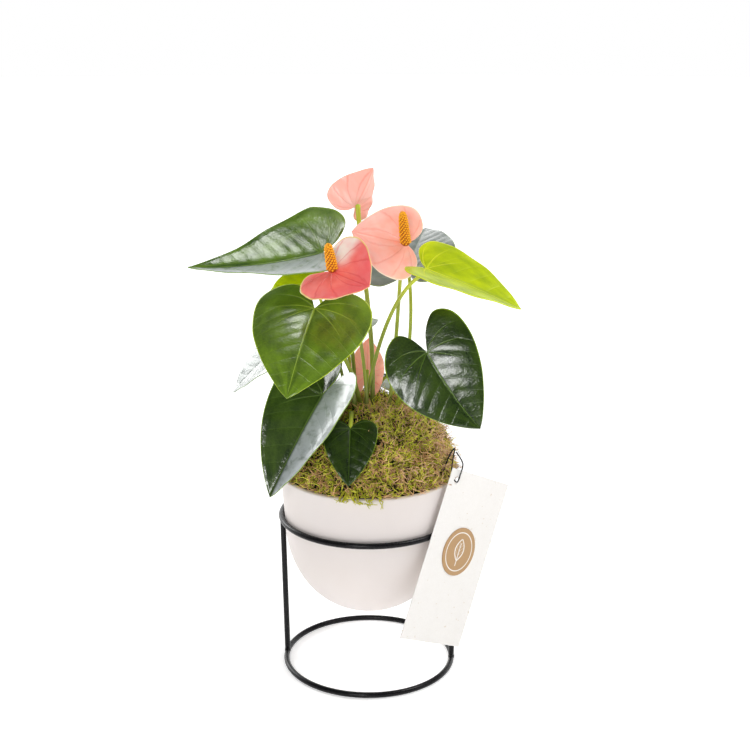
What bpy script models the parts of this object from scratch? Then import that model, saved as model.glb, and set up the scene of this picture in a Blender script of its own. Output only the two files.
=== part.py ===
"""A potted anthurium: a round-bottomed ceramic bowl in a wire stand, with a moss mound, heart
leaves, four flowers and a gift tag.

Lengths are metres, built from millimetre values, and +Z is up. The object stands on z = 0 and the
origin is under the middle of its bounding box.
"""

import math
from dataclasses import dataclass

import bmesh
import bpy
from mathutils import Matrix, Vector

MM = 0.001

# Clearance kept between pieces that touch.
GAP = 0.3 * MM

# Wire stand: two rings joined by two straight legs.
WIRE_DIAMETER = 4.0 * MM
BASE_RING_RADIUS = 60.0 * MM
SEAT_HEIGHT = 113.0 * MM
STAND_TURN = math.radians(-5.0)
WIRE_SIDES = 12
RING_STEPS = 36

# Ceramic bowl: it tapers from the rim to the seat on the top ring, then rounds to a small foot.
RIM_RADIUS = 62.0 * MM
RIM_FLARE = 2.5 * MM
FOOT_RADIUS = 24.0 * MM
BOWL_WALL = 4.0 * MM
RIM_ABOVE_SEAT = 33.0 * MM
FOOT_BELOW_SEAT = 65.0 * MM
BOWL_ROUNDNESS = 2.15
BOWL_STEPS = 40

# Grower's pot and soil inside the bowl.
NURSERY_RIM_RADIUS = 46.0 * MM
NURSERY_BASE_RADIUS = 31.0 * MM
NURSERY_WALL = 1.2 * MM
NURSERY_RIM_DROP = 1.0 * MM
NURSERY_BASE_DROP = 86.0 * MM
SOIL_DOME = 19.0 * MM
CORE_STEPS = 24

# Moss mound over the soil, with a well in the middle for the crown of the plant.
MOSS_HEIGHT = 48.0 * MM
MOSS_STEPS = 36
CROWN_SINK = 6.0 * MM

# Plant tissue.
BLADE_THICKNESS = 1.0 * MM
SPATHE_THICKNESS = 0.9 * MM
STEM_STEPS = 10
BLADE_ROWS = 10
BLADE_COLUMNS = 4

# Gift tag of stiff card, with a round sticker, on a loop of florist's wire.
TAG_WIDTH = 66.0 * MM
TAG_LENGTH = 120.0 * MM
TAG_THICKNESS = 0.6 * MM
TAG_YAW = math.radians(-45.0)
TAG_TILT = math.radians(25.0)
TAG_HOLE_RADIUS = 2.6 * MM
TAG_HOLE_INSET = 7.5 * MM
TAG_HOLE_ALONG = 19.5 * MM
TAG_HOLE_ABOVE_RIM = 3.0 * MM
STICKER_RADIUS = 17.0 * MM
STICKER_THICKNESS = 0.4 * MM
STICKER_DROP = 54.5 * MM
TAG_WIRE_DIAMETER = 1.0 * MM

# Sizes that the tables of leaves and flowers were laid out for. The plant spreads with its bowl,
# and what hangs below its crown follows the height of the mound.
TABLE_RIM_RADIUS = 62.0 * MM
TABLE_MOSS_HEIGHT = 48.0 * MM
TABLE_WELL_RADIUS = 25.0 * MM
PLANT_SPREAD = RIM_RADIUS / TABLE_RIM_RADIUS
PLANT_SINK = MOSS_HEIGHT / TABLE_MOSS_HEIGHT

# Heights and radii that follow from the sizes above.
WIRE_RADIUS = WIRE_DIAMETER / 2
SEAT_RADIUS = RIM_RADIUS - RIM_FLARE
MOSS_WELL_RADIUS = TABLE_WELL_RADIUS * PLANT_SPREAD
TOP_RING_RADIUS = SEAT_RADIUS + WIRE_RADIUS + GAP
RIM_HEIGHT = SEAT_HEIGHT + RIM_ABOVE_SEAT
FOOT_HEIGHT = SEAT_HEIGHT - FOOT_BELOW_SEAT
SOIL_TOP = RIM_HEIGHT + SOIL_DOME
CROWN_TOP = RIM_HEIGHT + MOSS_HEIGHT - CROWN_SINK
MOSS_RADIUS = RIM_RADIUS - BOWL_WALL - 2 * GAP


@dataclass(frozen=True)
class Stem:
    """A stalk: its foot on the crown, and its two handles (millimetres) and diameter."""

    foot: tuple
    leave: tuple
    arrive: tuple
    diameter: float


@dataclass(frozen=True)
class Heart:
    """A heart-shaped blade. Points are millimetres from the top of the crown.

    Width is the half-width and lobe the reach behind the joint, both over the length from
    joint to tip. Fold, droop and curl are in degrees. Slender draws the tip out, and sweep
    swings the lobes to one side.
    """

    joint: tuple
    tip: tuple
    face: tuple
    width: float
    lobe: float
    fold: float
    droop: float
    curl: float
    slender: float = 0.0
    sweep: float = 0.0


LEAVES = {
    "upper_left": (
        Heart((-32, 2, 111), (-120, -13, 104), (0.05, -0.36, 0.93), 0.48, 0.25, 22, -14, 8, 1.2, 0.12),
        Stem((-9, 8), (-1, 8, 50), (18, 19, -26), 2.8),
    ),
    "young_left": (
        Heart((-35, -5, 94), (-67, -12, 85), (-0.3, -0.55, 0.78), 0.50, 0.24, 14, 15, 10),
        Stem((-13, 5), (-6, -2, 40), (6, 6, -22), 2.2),
    ),
    "front_left": (
        Heart((-35, -36, 81), (-51, -84, 34), (-0.05, -0.66, 0.75), 0.56, 0.29, 6, 24, 16),
        Stem((-5, -9), (-1, 2, 32), (14, 12, -24), 2.8),
    ),
    "lower_left": (
        Heart((-31, -25, 19), (-65, -60, -41), (-0.36, -0.80, 0.5), 0.44, 0.26, 34, 14, 8),
        Stem((-13, -9), (-4, -1, 14), (8, 6, -3), 3.4),
    ),
    "front_small": (
        Heart((-12, -43, 1), (-13, -66, -31), (0.0, -0.85, 0.5), 0.47, 0.16, 12, 20, 12),
        Stem((-10, -17), (-2, -3, 18), (1, 8, 10), 3.0),
    ),
    "right": (
        Heart((39, -30, 50), (74, -46, 2), (0.0, -0.96, 0.27), 0.52, 0.34, 8, 16, 12, 0.0, -0.14),
        Stem((17, -8), (2, -2, 16), (-10, 14, -8), 2.8),
    ),
    "upper_right": (
        Heart((39, -8, 102), (101, -24, 78), (0.28, -0.26, 0.93), 0.51, 0.17, 18, 12, 8, 0.0, -0.2),
        Stem((-4, -3), (7, -1, 38), (-26, 1, -10), 2.6),
    ),
    "back_upper": (
        Heart((27, 24, 94), (42, 88, 114), (-0.20, -0.15, 0.94), 0.50, 0.26, 10, 12, 8),
        Stem((19, 4), (10, 2, 34), (4, -2, -24), 2.4),
    ),
    "back_left": (
        Heart((-56, 36, 42), (-98, 40, 2), (-0.55, -0.3, 0.78), 0.48, 0.30, 14, 18, 10),
        Stem((-17, 9), (-6, 4, 24), (16, -8, -10), 2.6),
    ),
    "behind_lower_left": (
        Heart((-36, 4, 28), (-70, -8, -18), (-0.45, -0.5, 0.74), 0.46, 0.28, 16, 16, 10),
        Stem((-18, -1), (-5, 0, 14), (8, 1, -6), 2.6),
    ),
    "moss_left": (
        Heart((-39, -32, 0), (-55, -46, -25), (-0.6, -0.50, 0.63), 0.42, 0.24, 12, 16, 10),
        Stem((-16, -13), (-2, -2, 22), (8, 6, 4), 2.2),
    ),
    "back_low": (
        Heart((12, 38, 16), (24, 74, -12), (0.1, 0.45, 0.88), 0.48, 0.26, 12, 18, 10),
        Stem((4, 20), (0, 4, 14), (-2, -10, 3), 2.4),
    ),
    "back_right": (
        Heart((44, 38, 31), (72, 84, 1), (0.4, 0.35, 0.84), 0.52, 0.33, 10, 20, 12),
        Stem((17, 11), (4, 3, 22), (-9, -9, -6), 2.6),
    ),
    "back_centre": (
        Heart((-19, 48, 50), (-28, 94, 18), (-0.1, 0.4, 0.9), 0.47, 0.28, 10, 20, 12),
        Stem((-9, 19), (-2, 4, 30), (4, -10, -16), 2.6),
    ),
}

SPATHES = {
    "front": (
        Heart((-23, -44, 107), (1, -67, 102), (-0.31, -0.57, 0.76), 0.80, 0.33, 7, -12, -8),
        Stem((-1, -13), (0, 1, 54), (8, 32, -4), 2.4),
        (-0.14, -0.28, 0.95),
        16.0,
    ),
    "right": (
        Heart((25, -7, 119), (-11, -19, 129), (-0.05, -0.93, 0.30), 0.64, 0.26, -8, -10, -10),
        Stem((13, -3), (6, 0, 40), (-2, 9, -24), 2.6),
        (-0.10, -0.33, 0.94),
        21.0,
    ),
    "top": (
        Heart((-9, 2, 142), (3, 12, 167), (-0.50, 0.72, -0.10), 0.72, 0.25, 34, -16, 0),
        Stem((2, 2), (4, 3, 50), (2, 2, -44), 3.2),
        (-0.25, 0.55, 0.80),
        15.0,
    ),
    "low": (
        Heart((-1, 15, 25), (0, 14, 49), (0.05, 0.98, 0.10), 0.50, 0.80, 16, -10, 0),
        Stem((-1, 10), (0, 0, 8), (0, -1, -8), 2.4),
        (0.10, 0.72, 0.69),
        14.0,
    ),
}

SHEATHS = {
    "left": ((-9, -14), (-1, -3, 22), 2.1),
    "right": ((21.5, -2), (1, 1, 14), 1.7),
}

COLOURS = {
    "stand": ((0.012, 0.012, 0.013), 0.35, 0.6),
    "bowl": ((0.80, 0.74, 0.69), 0.55, 0.0),
    "nursery": ((0.03, 0.03, 0.03), 0.6, 0.0),
    "soil": ((0.045, 0.028, 0.018), 0.95, 0.0),
    "moss": ((0.16, 0.17, 0.035), 0.95, 0.0),
    "crown": ((0.12, 0.15, 0.04), 0.7, 0.0),
    "leaf": ((0.03, 0.13, 0.025), 0.28, 0.0),
    "leaf_young": ((0.36, 0.50, 0.02), 0.3, 0.0),
    "petiole": ((0.16, 0.28, 0.04), 0.4, 0.0),
    "spathe": ((0.86, 0.36, 0.30), 0.35, 0.0),
    "spadix": ((0.88, 0.40, 0.06), 0.6, 0.0),
    "tag": ((0.86, 0.84, 0.80), 0.85, 0.0),
    "sticker": ((0.50, 0.33, 0.15), 0.6, 0.0),
    "tag_wire": ((0.02, 0.02, 0.02), 0.5, 0.4),
}
YOUNG_LEAVES = ("young_left", "upper_right")


def clear_scene():
    """Remove every object that the scene starts with."""
    for scene_object in list(bpy.data.objects):
        bpy.data.objects.remove(scene_object, do_unlink=True)


def make_materials():
    """Make one Principled material for each entry of COLOURS."""
    materials = {}
    for name, (colour, roughness, metallic) in COLOURS.items():
        made = bpy.data.materials.new(name)
        made.use_nodes = True
        shader = made.node_tree.nodes["Principled BSDF"]
        shader.inputs["Base Color"].default_value = (*colour, 1.0)
        shader.inputs["Roughness"].default_value = roughness
        shader.inputs["Metallic"].default_value = metallic
        materials[name] = made
    return materials


def plant_offset(millimetres):
    """Turn an offset of the tables into metres, as far out as the plant spreads."""
    x, y, z = millimetres
    return Vector((x * PLANT_SPREAD, y * PLANT_SPREAD, z)) * MM


def plant_point(millimetres):
    """Turn a point given from the top of the crown into a point in metres."""
    point = plant_offset(millimetres)
    if point.z < 0.0:
        point.z *= PLANT_SINK
    point.z += CROWN_TOP
    return point


class Model:
    """The collection, the parent empty and the materials that every piece shares."""

    def __init__(self, name):
        self.collection = bpy.data.collections.new(name)
        bpy.context.scene.collection.children.link(self.collection)
        self.root = bpy.data.objects.new(name + "_root", None)
        self.collection.objects.link(self.root)
        self.materials = make_materials()
        self.pieces = []

    def add(self, name, data, finish):
        """Put mesh or curve data in the collection under the parent empty."""
        piece = bpy.data.objects.new(name, data)
        self.collection.objects.link(piece)
        piece.parent = self.root
        data.materials.append(self.materials[finish])
        self.pieces.append(piece)
        return piece

    def centre_on_origin(self):
        """Move the parent empty so that the bounding box stands over the origin."""
        bpy.context.view_layer.update()
        graph = bpy.context.evaluated_depsgraph_get()
        corners = []
        for piece in self.pieces:
            seen = piece.evaluated_get(graph)
            mesh = seen.to_mesh()
            corners.extend(seen.matrix_world @ vertex.co for vertex in mesh.vertices)
            seen.to_mesh_clear()
        middle_x = (min(c.x for c in corners) + max(c.x for c in corners)) / 2
        middle_y = (min(c.y for c in corners) + max(c.y for c in corners)) / 2
        lowest = min(c.z for c in corners)
        self.root.location = (-middle_x, -middle_y, -lowest)


def turned(model, name, finish, profile, steps, closed=False):
    """Turn a profile of (radius, height) points, listed down its outer side, about +Z."""
    mesh = bpy.data.meshes.new(name)
    edges = [(i, i + 1) for i in range(len(profile) - 1)]
    if closed:
        edges.append((len(profile) - 1, 0))
    mesh.from_pydata([(radius, 0.0, height) for radius, height in profile], edges, [])
    piece = model.add(name, mesh, finish)
    screw = piece.modifiers.new("Screw", "SCREW")
    screw.steps = steps
    screw.render_steps = steps
    screw.use_merge_vertices = True
    screw.merge_threshold = 0.00001
    screw.use_smooth_shade = True
    return piece


def tube(model, name, finish, points, diameter, tapers=None, resolution=1):
    """Run a round tube with capped ends along a list of points."""
    curve = bpy.data.curves.new(name, "CURVE")
    curve.dimensions = "3D"
    curve.bevel_depth = diameter / 2
    curve.bevel_resolution = resolution
    curve.use_fill_caps = True
    spline = curve.splines.new("POLY")
    spline.points.add(len(points) - 1)
    for index, point in enumerate(points):
        spline.points[index].co = (*point, 1.0)
        spline.points[index].radius = tapers[index] if tapers else 1.0
    return model.add(name, curve, finish)


def bezier(start, first, second, end, steps):
    """Points along a cubic Bezier from start to end."""
    points = []
    for index in range(steps + 1):
        t = index / steps
        u = 1.0 - t
        point = u ** 3 * start + 3 * u * u * t * first + 3 * u * t * t * second + t ** 3 * end
        points.append(point)
    return points


def catmull_rom(knots, s):
    """Point at parameter s (0 to 1) of a smooth curve through the knots."""
    spans = len(knots) - 1
    span = min(int(s * spans), spans - 1)
    t = s * spans - span
    before = knots[max(span - 1, 0)]
    here = knots[span]
    there = knots[span + 1]
    after = knots[min(span + 2, spans)]
    return 0.5 * (
        2 * here
        + (there - before) * t
        + (2 * before - 5 * here + 4 * there - after) * t * t
        + (3 * here - before - 3 * there + after) * t ** 3
    )


# Stand ------------------------------------------------------------------------------------------


def ring_profile(radius, height):
    """Section of a wire ring: a polygon with a flat side underneath."""
    profile = []
    for index in range(WIRE_SIDES):
        angle = math.pi / 2 - 2 * math.pi * (index + 0.5) / WIRE_SIDES
        reach = WIRE_RADIUS / math.cos(math.pi / WIRE_SIDES)
        profile.append((radius + reach * math.cos(angle), height + reach * math.sin(angle)))
    return profile


def build_stand(model):
    """The base ring on the floor, the ring that holds the bowl, and the two legs."""
    base = ring_profile(BASE_RING_RADIUS, WIRE_RADIUS)
    turned(model, "stand_base_ring", "stand", base, RING_STEPS, closed=True)
    top = ring_profile(TOP_RING_RADIUS, SEAT_HEIGHT)
    turned(model, "stand_top_ring", "stand", top, RING_STEPS, closed=True)
    for name, side in (("left", -1.0), ("right", 1.0)):
        direction = Vector((side * math.cos(STAND_TURN), side * math.sin(STAND_TURN), 0.0))
        foot = direction * BASE_RING_RADIUS
        foot.z = WIRE_DIAMETER + GAP
        head = direction * TOP_RING_RADIUS
        head.z = SEAT_HEIGHT - WIRE_RADIUS - GAP
        tube(model, "stand_leg_" + name, "stand", [foot, head], WIRE_DIAMETER, resolution=2)


# Bowl and what is in it --------------------------------------------------------------------------


def bowl_radius(height):
    """Outer radius of the bowl at a height above the floor."""
    if height >= SEAT_HEIGHT:
        share = (height - SEAT_HEIGHT) / RIM_ABOVE_SEAT
        return SEAT_RADIUS + (RIM_RADIUS - SEAT_RADIUS) * share
    foot_share = (FOOT_RADIUS / SEAT_RADIUS) ** BOWL_ROUNDNESS
    depth = FOOT_BELOW_SEAT / (1.0 - foot_share) ** (1.0 / BOWL_ROUNDNESS)
    below = (SEAT_HEIGHT - height) / depth
    return SEAT_RADIUS * (1.0 - below ** BOWL_ROUNDNESS) ** (1.0 / BOWL_ROUNDNESS)


def build_bowl(model):
    """The ceramic shell: up the inside from the floor of the bowl, over the rim, down to the foot."""
    floor = FOOT_HEIGHT + BOWL_WALL
    inside = []
    for share in (0.0, 0.06, 0.15, 0.3, 0.5, 0.75, 1.0):
        height = floor + (RIM_HEIGHT - BOWL_WALL * 0.4 - floor) * share
        inside.append((bowl_radius(height) - BOWL_WALL, height))
    lip = [
        (RIM_RADIUS - BOWL_WALL * 0.75, RIM_HEIGHT),
        (RIM_RADIUS - BOWL_WALL * 0.25, RIM_HEIGHT),
    ]
    outside = []
    for share in (0.985, 0.8, 0.663, 0.55, 0.42, 0.3, 0.2, 0.12, 0.05, 0.0):
        height = FOOT_HEIGHT + (RIM_HEIGHT - FOOT_HEIGHT) * share
        outside.append((bowl_radius(height), height))
    profile = [(0.0, floor), *inside, *lip, *outside, (0.0, FOOT_HEIGHT)]
    turned(model, "ceramic_pot", "bowl", profile, BOWL_STEPS)


def build_nursery_pot(model):
    """The grower's plastic pot that stands hidden in the bowl, and the soil that fills it."""
    rim = RIM_HEIGHT - NURSERY_RIM_DROP
    base = max(RIM_HEIGHT - NURSERY_BASE_DROP, FOOT_HEIGHT + BOWL_WALL + GAP)
    lip = 2.0 * NURSERY_WALL
    profile = [
        (0.0, base + NURSERY_WALL),
        (NURSERY_BASE_RADIUS - NURSERY_WALL, base + NURSERY_WALL),
        (NURSERY_RIM_RADIUS - lip, rim),
        (NURSERY_RIM_RADIUS, rim),
        (NURSERY_RIM_RADIUS, rim - 4 * lip),
        (NURSERY_RIM_RADIUS - lip + NURSERY_WALL, rim - 4 * lip),
        (NURSERY_BASE_RADIUS, base),
        (0.0, base),
    ]
    turned(model, "nursery_pot", "nursery", profile, CORE_STEPS)
    room = NURSERY_WALL + 2 * GAP
    soil = [
        (0.0, SOIL_TOP),
        (MOSS_WELL_RADIUS, SOIL_TOP - 1.0 * MM),
        (NURSERY_RIM_RADIUS - lip - 6.0 * MM, rim + 5.0 * MM),
        (NURSERY_RIM_RADIUS - lip - 2 * GAP, rim),
        (NURSERY_BASE_RADIUS - room, base + room),
        (0.0, base + room),
    ]
    turned(model, "root_ball", "soil", soil, CORE_STEPS)


def moss_height(radius):
    """Height of the mound's surface at a distance from the axis."""
    share = min(radius / MOSS_RADIUS, 1.0)
    return RIM_HEIGHT + MOSS_HEIGHT * (1.0 - share ** 4.2) ** 1.05


def build_moss(model):
    """The moss mound, open in the middle, and the crown that fills the opening."""
    profile = []
    for index in range(9):
        share = math.sin(math.pi / 2 * index / 8)
        radius = MOSS_WELL_RADIUS + (MOSS_RADIUS - MOSS_WELL_RADIUS) * share
        profile.append((radius, moss_height(radius)))
    nursery_rim = RIM_HEIGHT - NURSERY_RIM_DROP
    profile += [
        (MOSS_RADIUS, RIM_HEIGHT - 5.0 * MM),
        (NURSERY_RIM_RADIUS + 3.0 * MM, RIM_HEIGHT - 5.0 * MM),
        (NURSERY_RIM_RADIUS + 1.0 * MM, nursery_rim + 2 * GAP),
        (NURSERY_RIM_RADIUS - 6.0 * MM, nursery_rim + 5.0 * MM + 4 * GAP),
        (MOSS_WELL_RADIUS, SOIL_TOP + 2 * GAP),
    ]
    turned(model, "moss_mound", "moss", profile, MOSS_STEPS, closed=True)
    radius = MOSS_WELL_RADIUS - 2 * GAP
    crown = [
        (0.0, crown_height(0.0)),
        (radius * 0.55, crown_height(radius * 0.55)),
        (radius * 0.85, crown_height(radius * 0.85)),
        (radius, crown_height(radius)),
        (radius, SOIL_TOP + GAP),
        (0.0, SOIL_TOP + GAP),
    ]
    turned(model, "crown", "crown", crown, CORE_STEPS)


def crown_height(radius):
    """Height of the crown's low dome at a distance from the axis."""
    return CROWN_TOP - 6.0 * MM * (radius / MOSS_WELL_RADIUS) ** 2


# Leaves and flowers -------------------------------------------------------------------------------


def heart_outline(heart):
    """Half outline from the notch behind the joint, round the lobe, to the tip (length 1)."""
    half = heart.width
    back = heart.lobe
    thin = heart.slender
    shape = [
        (0.0, 0.0),
        (0.17 * half, -0.60 * back),
        (0.45 * half, -0.98 * back),
        (0.76 * half, -0.80 * back),
        (0.96 * half, -0.30 * back),
        (1.0 * half, 0.14 - 0.08 * thin),
        ((0.86 - 0.08 * thin) * half, 0.42 - 0.06 * thin),
        ((0.56 - 0.14 * thin) * half, 0.69 - 0.04 * thin),
        ((0.22 - 0.08 * thin) * half, 0.90),
        (0.0, 1.0),
    ]
    return [Vector(point) for point in shape]


class HeartFrame:
    """Where a heart-shaped blade stands: it bends a flat heart and carries it to its place."""

    def __init__(self, heart):
        self.heart = heart
        joint = plant_point(heart.joint)
        chord = plant_point(heart.tip) - joint
        along = chord.normalized()
        face = Vector(heart.face)
        up = (face - face.dot(along) * along).normalized()
        across = along.cross(up)
        self.droop = math.radians(heart.droop)
        half_turn = self.droop / 2
        self.length = chord.length * half_turn / math.sin(half_turn)
        self.joint = joint
        self.along = (along * math.cos(half_turn) + up * math.sin(half_turn)).normalized()
        self.up = across.cross(self.along)
        self.across = across

    def place(self, x, y):
        """Carry a point of the flat heart (length 1) to its place in space."""
        heart = self.heart
        fold = math.radians(heart.fold)
        x += heart.sweep * (y * y - y)
        crease = math.hypot(x, 0.04) - 0.04
        side = x * math.cos(fold)
        lift = crease * math.sin(fold) - math.radians(heart.curl) * x * x
        turn = self.droop * y
        forward = math.sin(turn) / self.droop
        drop = (1.0 - math.cos(turn)) / self.droop
        forward += lift * math.sin(turn)
        rise = lift * math.cos(turn) - drop
        offset = self.across * side + self.along * forward + self.up * rise
        return self.joint + offset * self.length


def build_blade(model, name, finish, frame, thickness):
    """A heart-shaped shell: a grid whose rows fan out from the joint to the margin."""
    outline = heart_outline(frame.heart)
    work = bmesh.new()
    bmesh.ops.create_grid(
        work, x_segments=2 * BLADE_COLUMNS, y_segments=BLADE_ROWS, size=1.0
    )
    for vertex in work.verts:
        row = (vertex.co.y + 1.0) / 2
        margin = catmull_rom(outline, 0.06 + 0.94 * row)
        midrib = Vector((0.0, row ** 1.7))
        flat = midrib + (margin - midrib) * abs(vertex.co.x)
        flat.x = math.copysign(flat.x, vertex.co.x)
        vertex.co = frame.place(flat.x, flat.y)
    bmesh.ops.remove_doubles(work, verts=work.verts, dist=0.000001)
    bmesh.ops.recalc_face_normals(work, faces=work.faces)
    mesh = bpy.data.meshes.new(name)
    work.to_mesh(mesh)
    work.free()
    mesh.shade_smooth()
    piece = model.add(name, mesh, finish)
    shell = piece.modifiers.new("Solidify", "SOLIDIFY")
    shell.thickness = thickness
    shell.offset = 0.0
    return piece


def stem_foot(place):
    """Foot of a stalk on the crown, given its place on the crown in millimetres."""
    foot = plant_offset((*place, 0.0))
    foot.z = crown_height(foot.length) + GAP
    return foot


def build_stem(model, name, frame, stem, thickness):
    """A stalk from the crown to just under the joint of its blade."""
    foot = stem_foot(stem.foot)
    diameter = stem.diameter * MM
    foot.z += diameter / 2 * 0.4
    arrive = plant_offset(stem.arrive)
    slant = math.sqrt(max(0.0, 1.0 - arrive.normalized().dot(frame.up) ** 2))
    below = thickness / 2 + 2 * GAP + diameter / 2 * slant
    end = frame.joint + frame.along * diameter * 0.6 - frame.up * below
    first = foot + plant_offset(stem.leave)
    points = bezier(foot, first, end + arrive, end, STEM_STEPS)
    tube(model, name, "petiole", points, diameter)


def build_spadix(model, name, frame, direction, length):
    """The flower spike: a round-ended rod that stands on the face of its spathe."""
    radius = 3.6 * MM
    long = length * MM
    profile = [
        (0.0, long + radius * 0.6),
        (radius * 0.42, long + radius * 0.35),
        (radius * 0.62, long - radius * 0.3),
        (radius * 0.85, long * 0.62),
        (radius, long * 0.25),
        (radius, 0.0),
        (radius * 0.72, -radius * 0.7),
        (0.0, -radius),
    ]
    piece = turned(model, name, "spadix", profile, 10)
    axis = Vector(direction).normalized()
    piece.rotation_mode = "QUATERNION"
    piece.rotation_quaternion = Vector((0.0, 0.0, 1.0)).rotation_difference(axis)
    clear = radius + SPATHE_THICKNESS / 2 + 2 * GAP
    piece.location = frame.joint + frame.up * clear + frame.along * radius * 0.5


def build_leaves(model):
    """Every leaf: a blade and the petiole that carries it."""
    for name, (heart, stem) in LEAVES.items():
        frame = HeartFrame(heart)
        finish = "leaf_young" if name in YOUNG_LEAVES else "leaf"
        build_blade(model, "leaf_" + name, finish, frame, BLADE_THICKNESS)
        build_stem(model, "petiole_" + name, frame, stem, BLADE_THICKNESS)


def build_flowers(model):
    """Every flower: its spathe, its spadix and its peduncle."""
    for name, (heart, stem, axis, length) in SPATHES.items():
        frame = HeartFrame(heart)
        build_blade(model, "spathe_" + name, "spathe", frame, SPATHE_THICKNESS)
        build_stem(model, "peduncle_" + name, frame, stem, SPATHE_THICKNESS)
        build_spadix(model, "spadix_" + name, frame, axis, length)


def build_sheaths(model):
    """Pointed sheaths that stand on the crown between the stalks."""
    for name, (place, rise, radius) in SHEATHS.items():
        foot = stem_foot(place)
        foot.z += 1.0 * MM
        tip = foot + Vector(rise) * MM
        middle = (foot + tip) / 2
        points = [foot, (foot + middle) / 2, middle, (middle + tip) / 2, tip]
        tube(
            model,
            "sheath_" + name,
            "leaf_young",
            points,
            2 * radius * MM,
            tapers=[0.8, 1.0, 0.9, 0.6, 0.2],
        )


# Gift tag ------------------------------------------------------------------------------------------


class TagFrame:
    """The plane of the card, which leans on the outside of the top ring."""

    def __init__(self):
        self.normal = Vector((math.cos(TAG_YAW), math.sin(TAG_YAW), 0.0))
        level = Vector((-self.normal.y, self.normal.x, 0.0))
        up = Vector((0.0, 0.0, 1.0))
        self.across = level * math.cos(TAG_TILT) - up * math.sin(TAG_TILT)
        self.up = level * math.sin(TAG_TILT) + up * math.cos(TAG_TILT)
        reach = max(TOP_RING_RADIUS + WIRE_RADIUS, RIM_RADIUS) + 2 * GAP + TAG_THICKNESS / 2
        self.hole = self.normal * reach + level * TAG_HOLE_ALONG
        self.hole.z = RIM_HEIGHT + TAG_HOLE_ABOVE_RIM

    def matrix(self, across, up, out):
        """Placement of a flat piece in the card's plane, measured from the hole."""
        place = self.hole + self.across * across + self.up * up + self.normal * out
        turn = Matrix((self.across, self.up, self.normal)).transposed()
        return Matrix.Translation(place) @ turn.to_4x4()


def circle_points(radius, count):
    """Points of a flat circle about the origin."""
    points = []
    for index in range(count):
        angle = 2 * math.pi * index / count
        points.append((radius * math.cos(angle), radius * math.sin(angle)))
    return points


def flat_piece(model, name, finish, outlines, thickness):
    """A flat plate from closed outlines, the later ones being holes in the first."""
    curve = bpy.data.curves.new(name, "CURVE")
    curve.dimensions = "2D"
    curve.fill_mode = "BOTH"
    curve.extrude = thickness / 2
    for outline in outlines:
        spline = curve.splines.new("POLY")
        spline.points.add(len(outline) - 1)
        for index, (x, y) in enumerate(outline):
            spline.points[index].co = (x, y, 0.0, 1.0)
        spline.use_cyclic_u = True
    return model.add(name, curve, finish)


def build_tag(model):
    """The card with its corner hole, the round sticker and the wire loop it hangs on."""
    frame = TagFrame()
    left = -TAG_HOLE_INSET
    top = TAG_HOLE_INSET
    card = [
        (left, top),
        (left, top - TAG_LENGTH),
        (left + TAG_WIDTH, top - TAG_LENGTH),
        (left + TAG_WIDTH, top),
    ]
    hole = circle_points(TAG_HOLE_RADIUS, 12)
    plate = flat_piece(model, "tag_card", "tag", [card, hole], TAG_THICKNESS)
    plate.matrix_local = frame.matrix(0.0, 0.0, 0.0)
    disc = [circle_points(STICKER_RADIUS, 32)]
    sticker = flat_piece(model, "tag_sticker", "sticker", disc, STICKER_THICKNESS)
    out = TAG_THICKNESS / 2 + GAP + STICKER_THICKNESS / 2
    sticker.matrix_local = frame.matrix(left + TAG_WIDTH / 2, top - STICKER_DROP, out)
    build_tag_wire(model, frame)


def build_tag_wire(model, frame):
    """Florist's wire: out of the moss, up to a knot, and round through the hole of the card."""
    hole = frame.hole
    out = frame.normal * (TAG_THICKNESS / 2 + 1.6 * MM)
    knot = hole - frame.normal * 2.0 * MM + Vector((0.0, 0.0, 22.0 * MM))
    level = Vector((-frame.normal.y, frame.normal.x, 0.0))
    start = knot - frame.normal * 9.5 * MM - level * 2.0 * MM
    distance = math.hypot(start.x, start.y)
    start.z = moss_height(distance) + 2 * GAP
    bend = (start + knot) / 2 + Vector((0.0, 0.0, 3.5 * MM))
    side = level * 4.0 * MM
    route = [
        start,
        bend,
        knot,
        hole - side * 0.8 - out * 0.6 + Vector((0.0, 0.0, 11.0 * MM)),
        hole - side * 0.5 - out + Vector((0.0, 0.0, 4.0 * MM)),
        hole - out * 0.7 - Vector((0.0, 0.0, 0.8 * MM)),
        hole + out * 0.7 - Vector((0.0, 0.0, 0.8 * MM)),
        hole + side * 0.5 + out + Vector((0.0, 0.0, 4.0 * MM)),
        hole + side * 1.2 + out * 0.8 + Vector((0.0, 0.0, 11.0 * MM)),
        knot + out * 0.9 + Vector((0.0, 0.0, -2.0 * MM)),
    ]
    samples = 4 * (len(route) - 1)
    points = [catmull_rom(route, index / samples) for index in range(samples + 1)]
    tube(model, "tag_wire", "tag_wire", points, TAG_WIRE_DIAMETER)


def main():
    """Build the whole object."""
    clear_scene()
    model = Model("potted_anthurium")
    build_stand(model)
    build_bowl(model)
    build_nursery_pot(model)
    build_moss(model)
    build_sheaths(model)
    build_leaves(model)
    build_flowers(model)
    build_tag(model)
    model.centre_on_origin()


main()
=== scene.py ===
"""Looks of a potted anthurium: leaves, flowers, moss, bowl, wire stand and gift tag.

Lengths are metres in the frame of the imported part; plant tables are in millimetres.
"""

import logging
import math
from dataclasses import dataclass, field
from enum import Enum
from typing import Union

import bmesh
import bpy
import numpy as np
from mathutils import Matrix, Vector, noise


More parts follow.
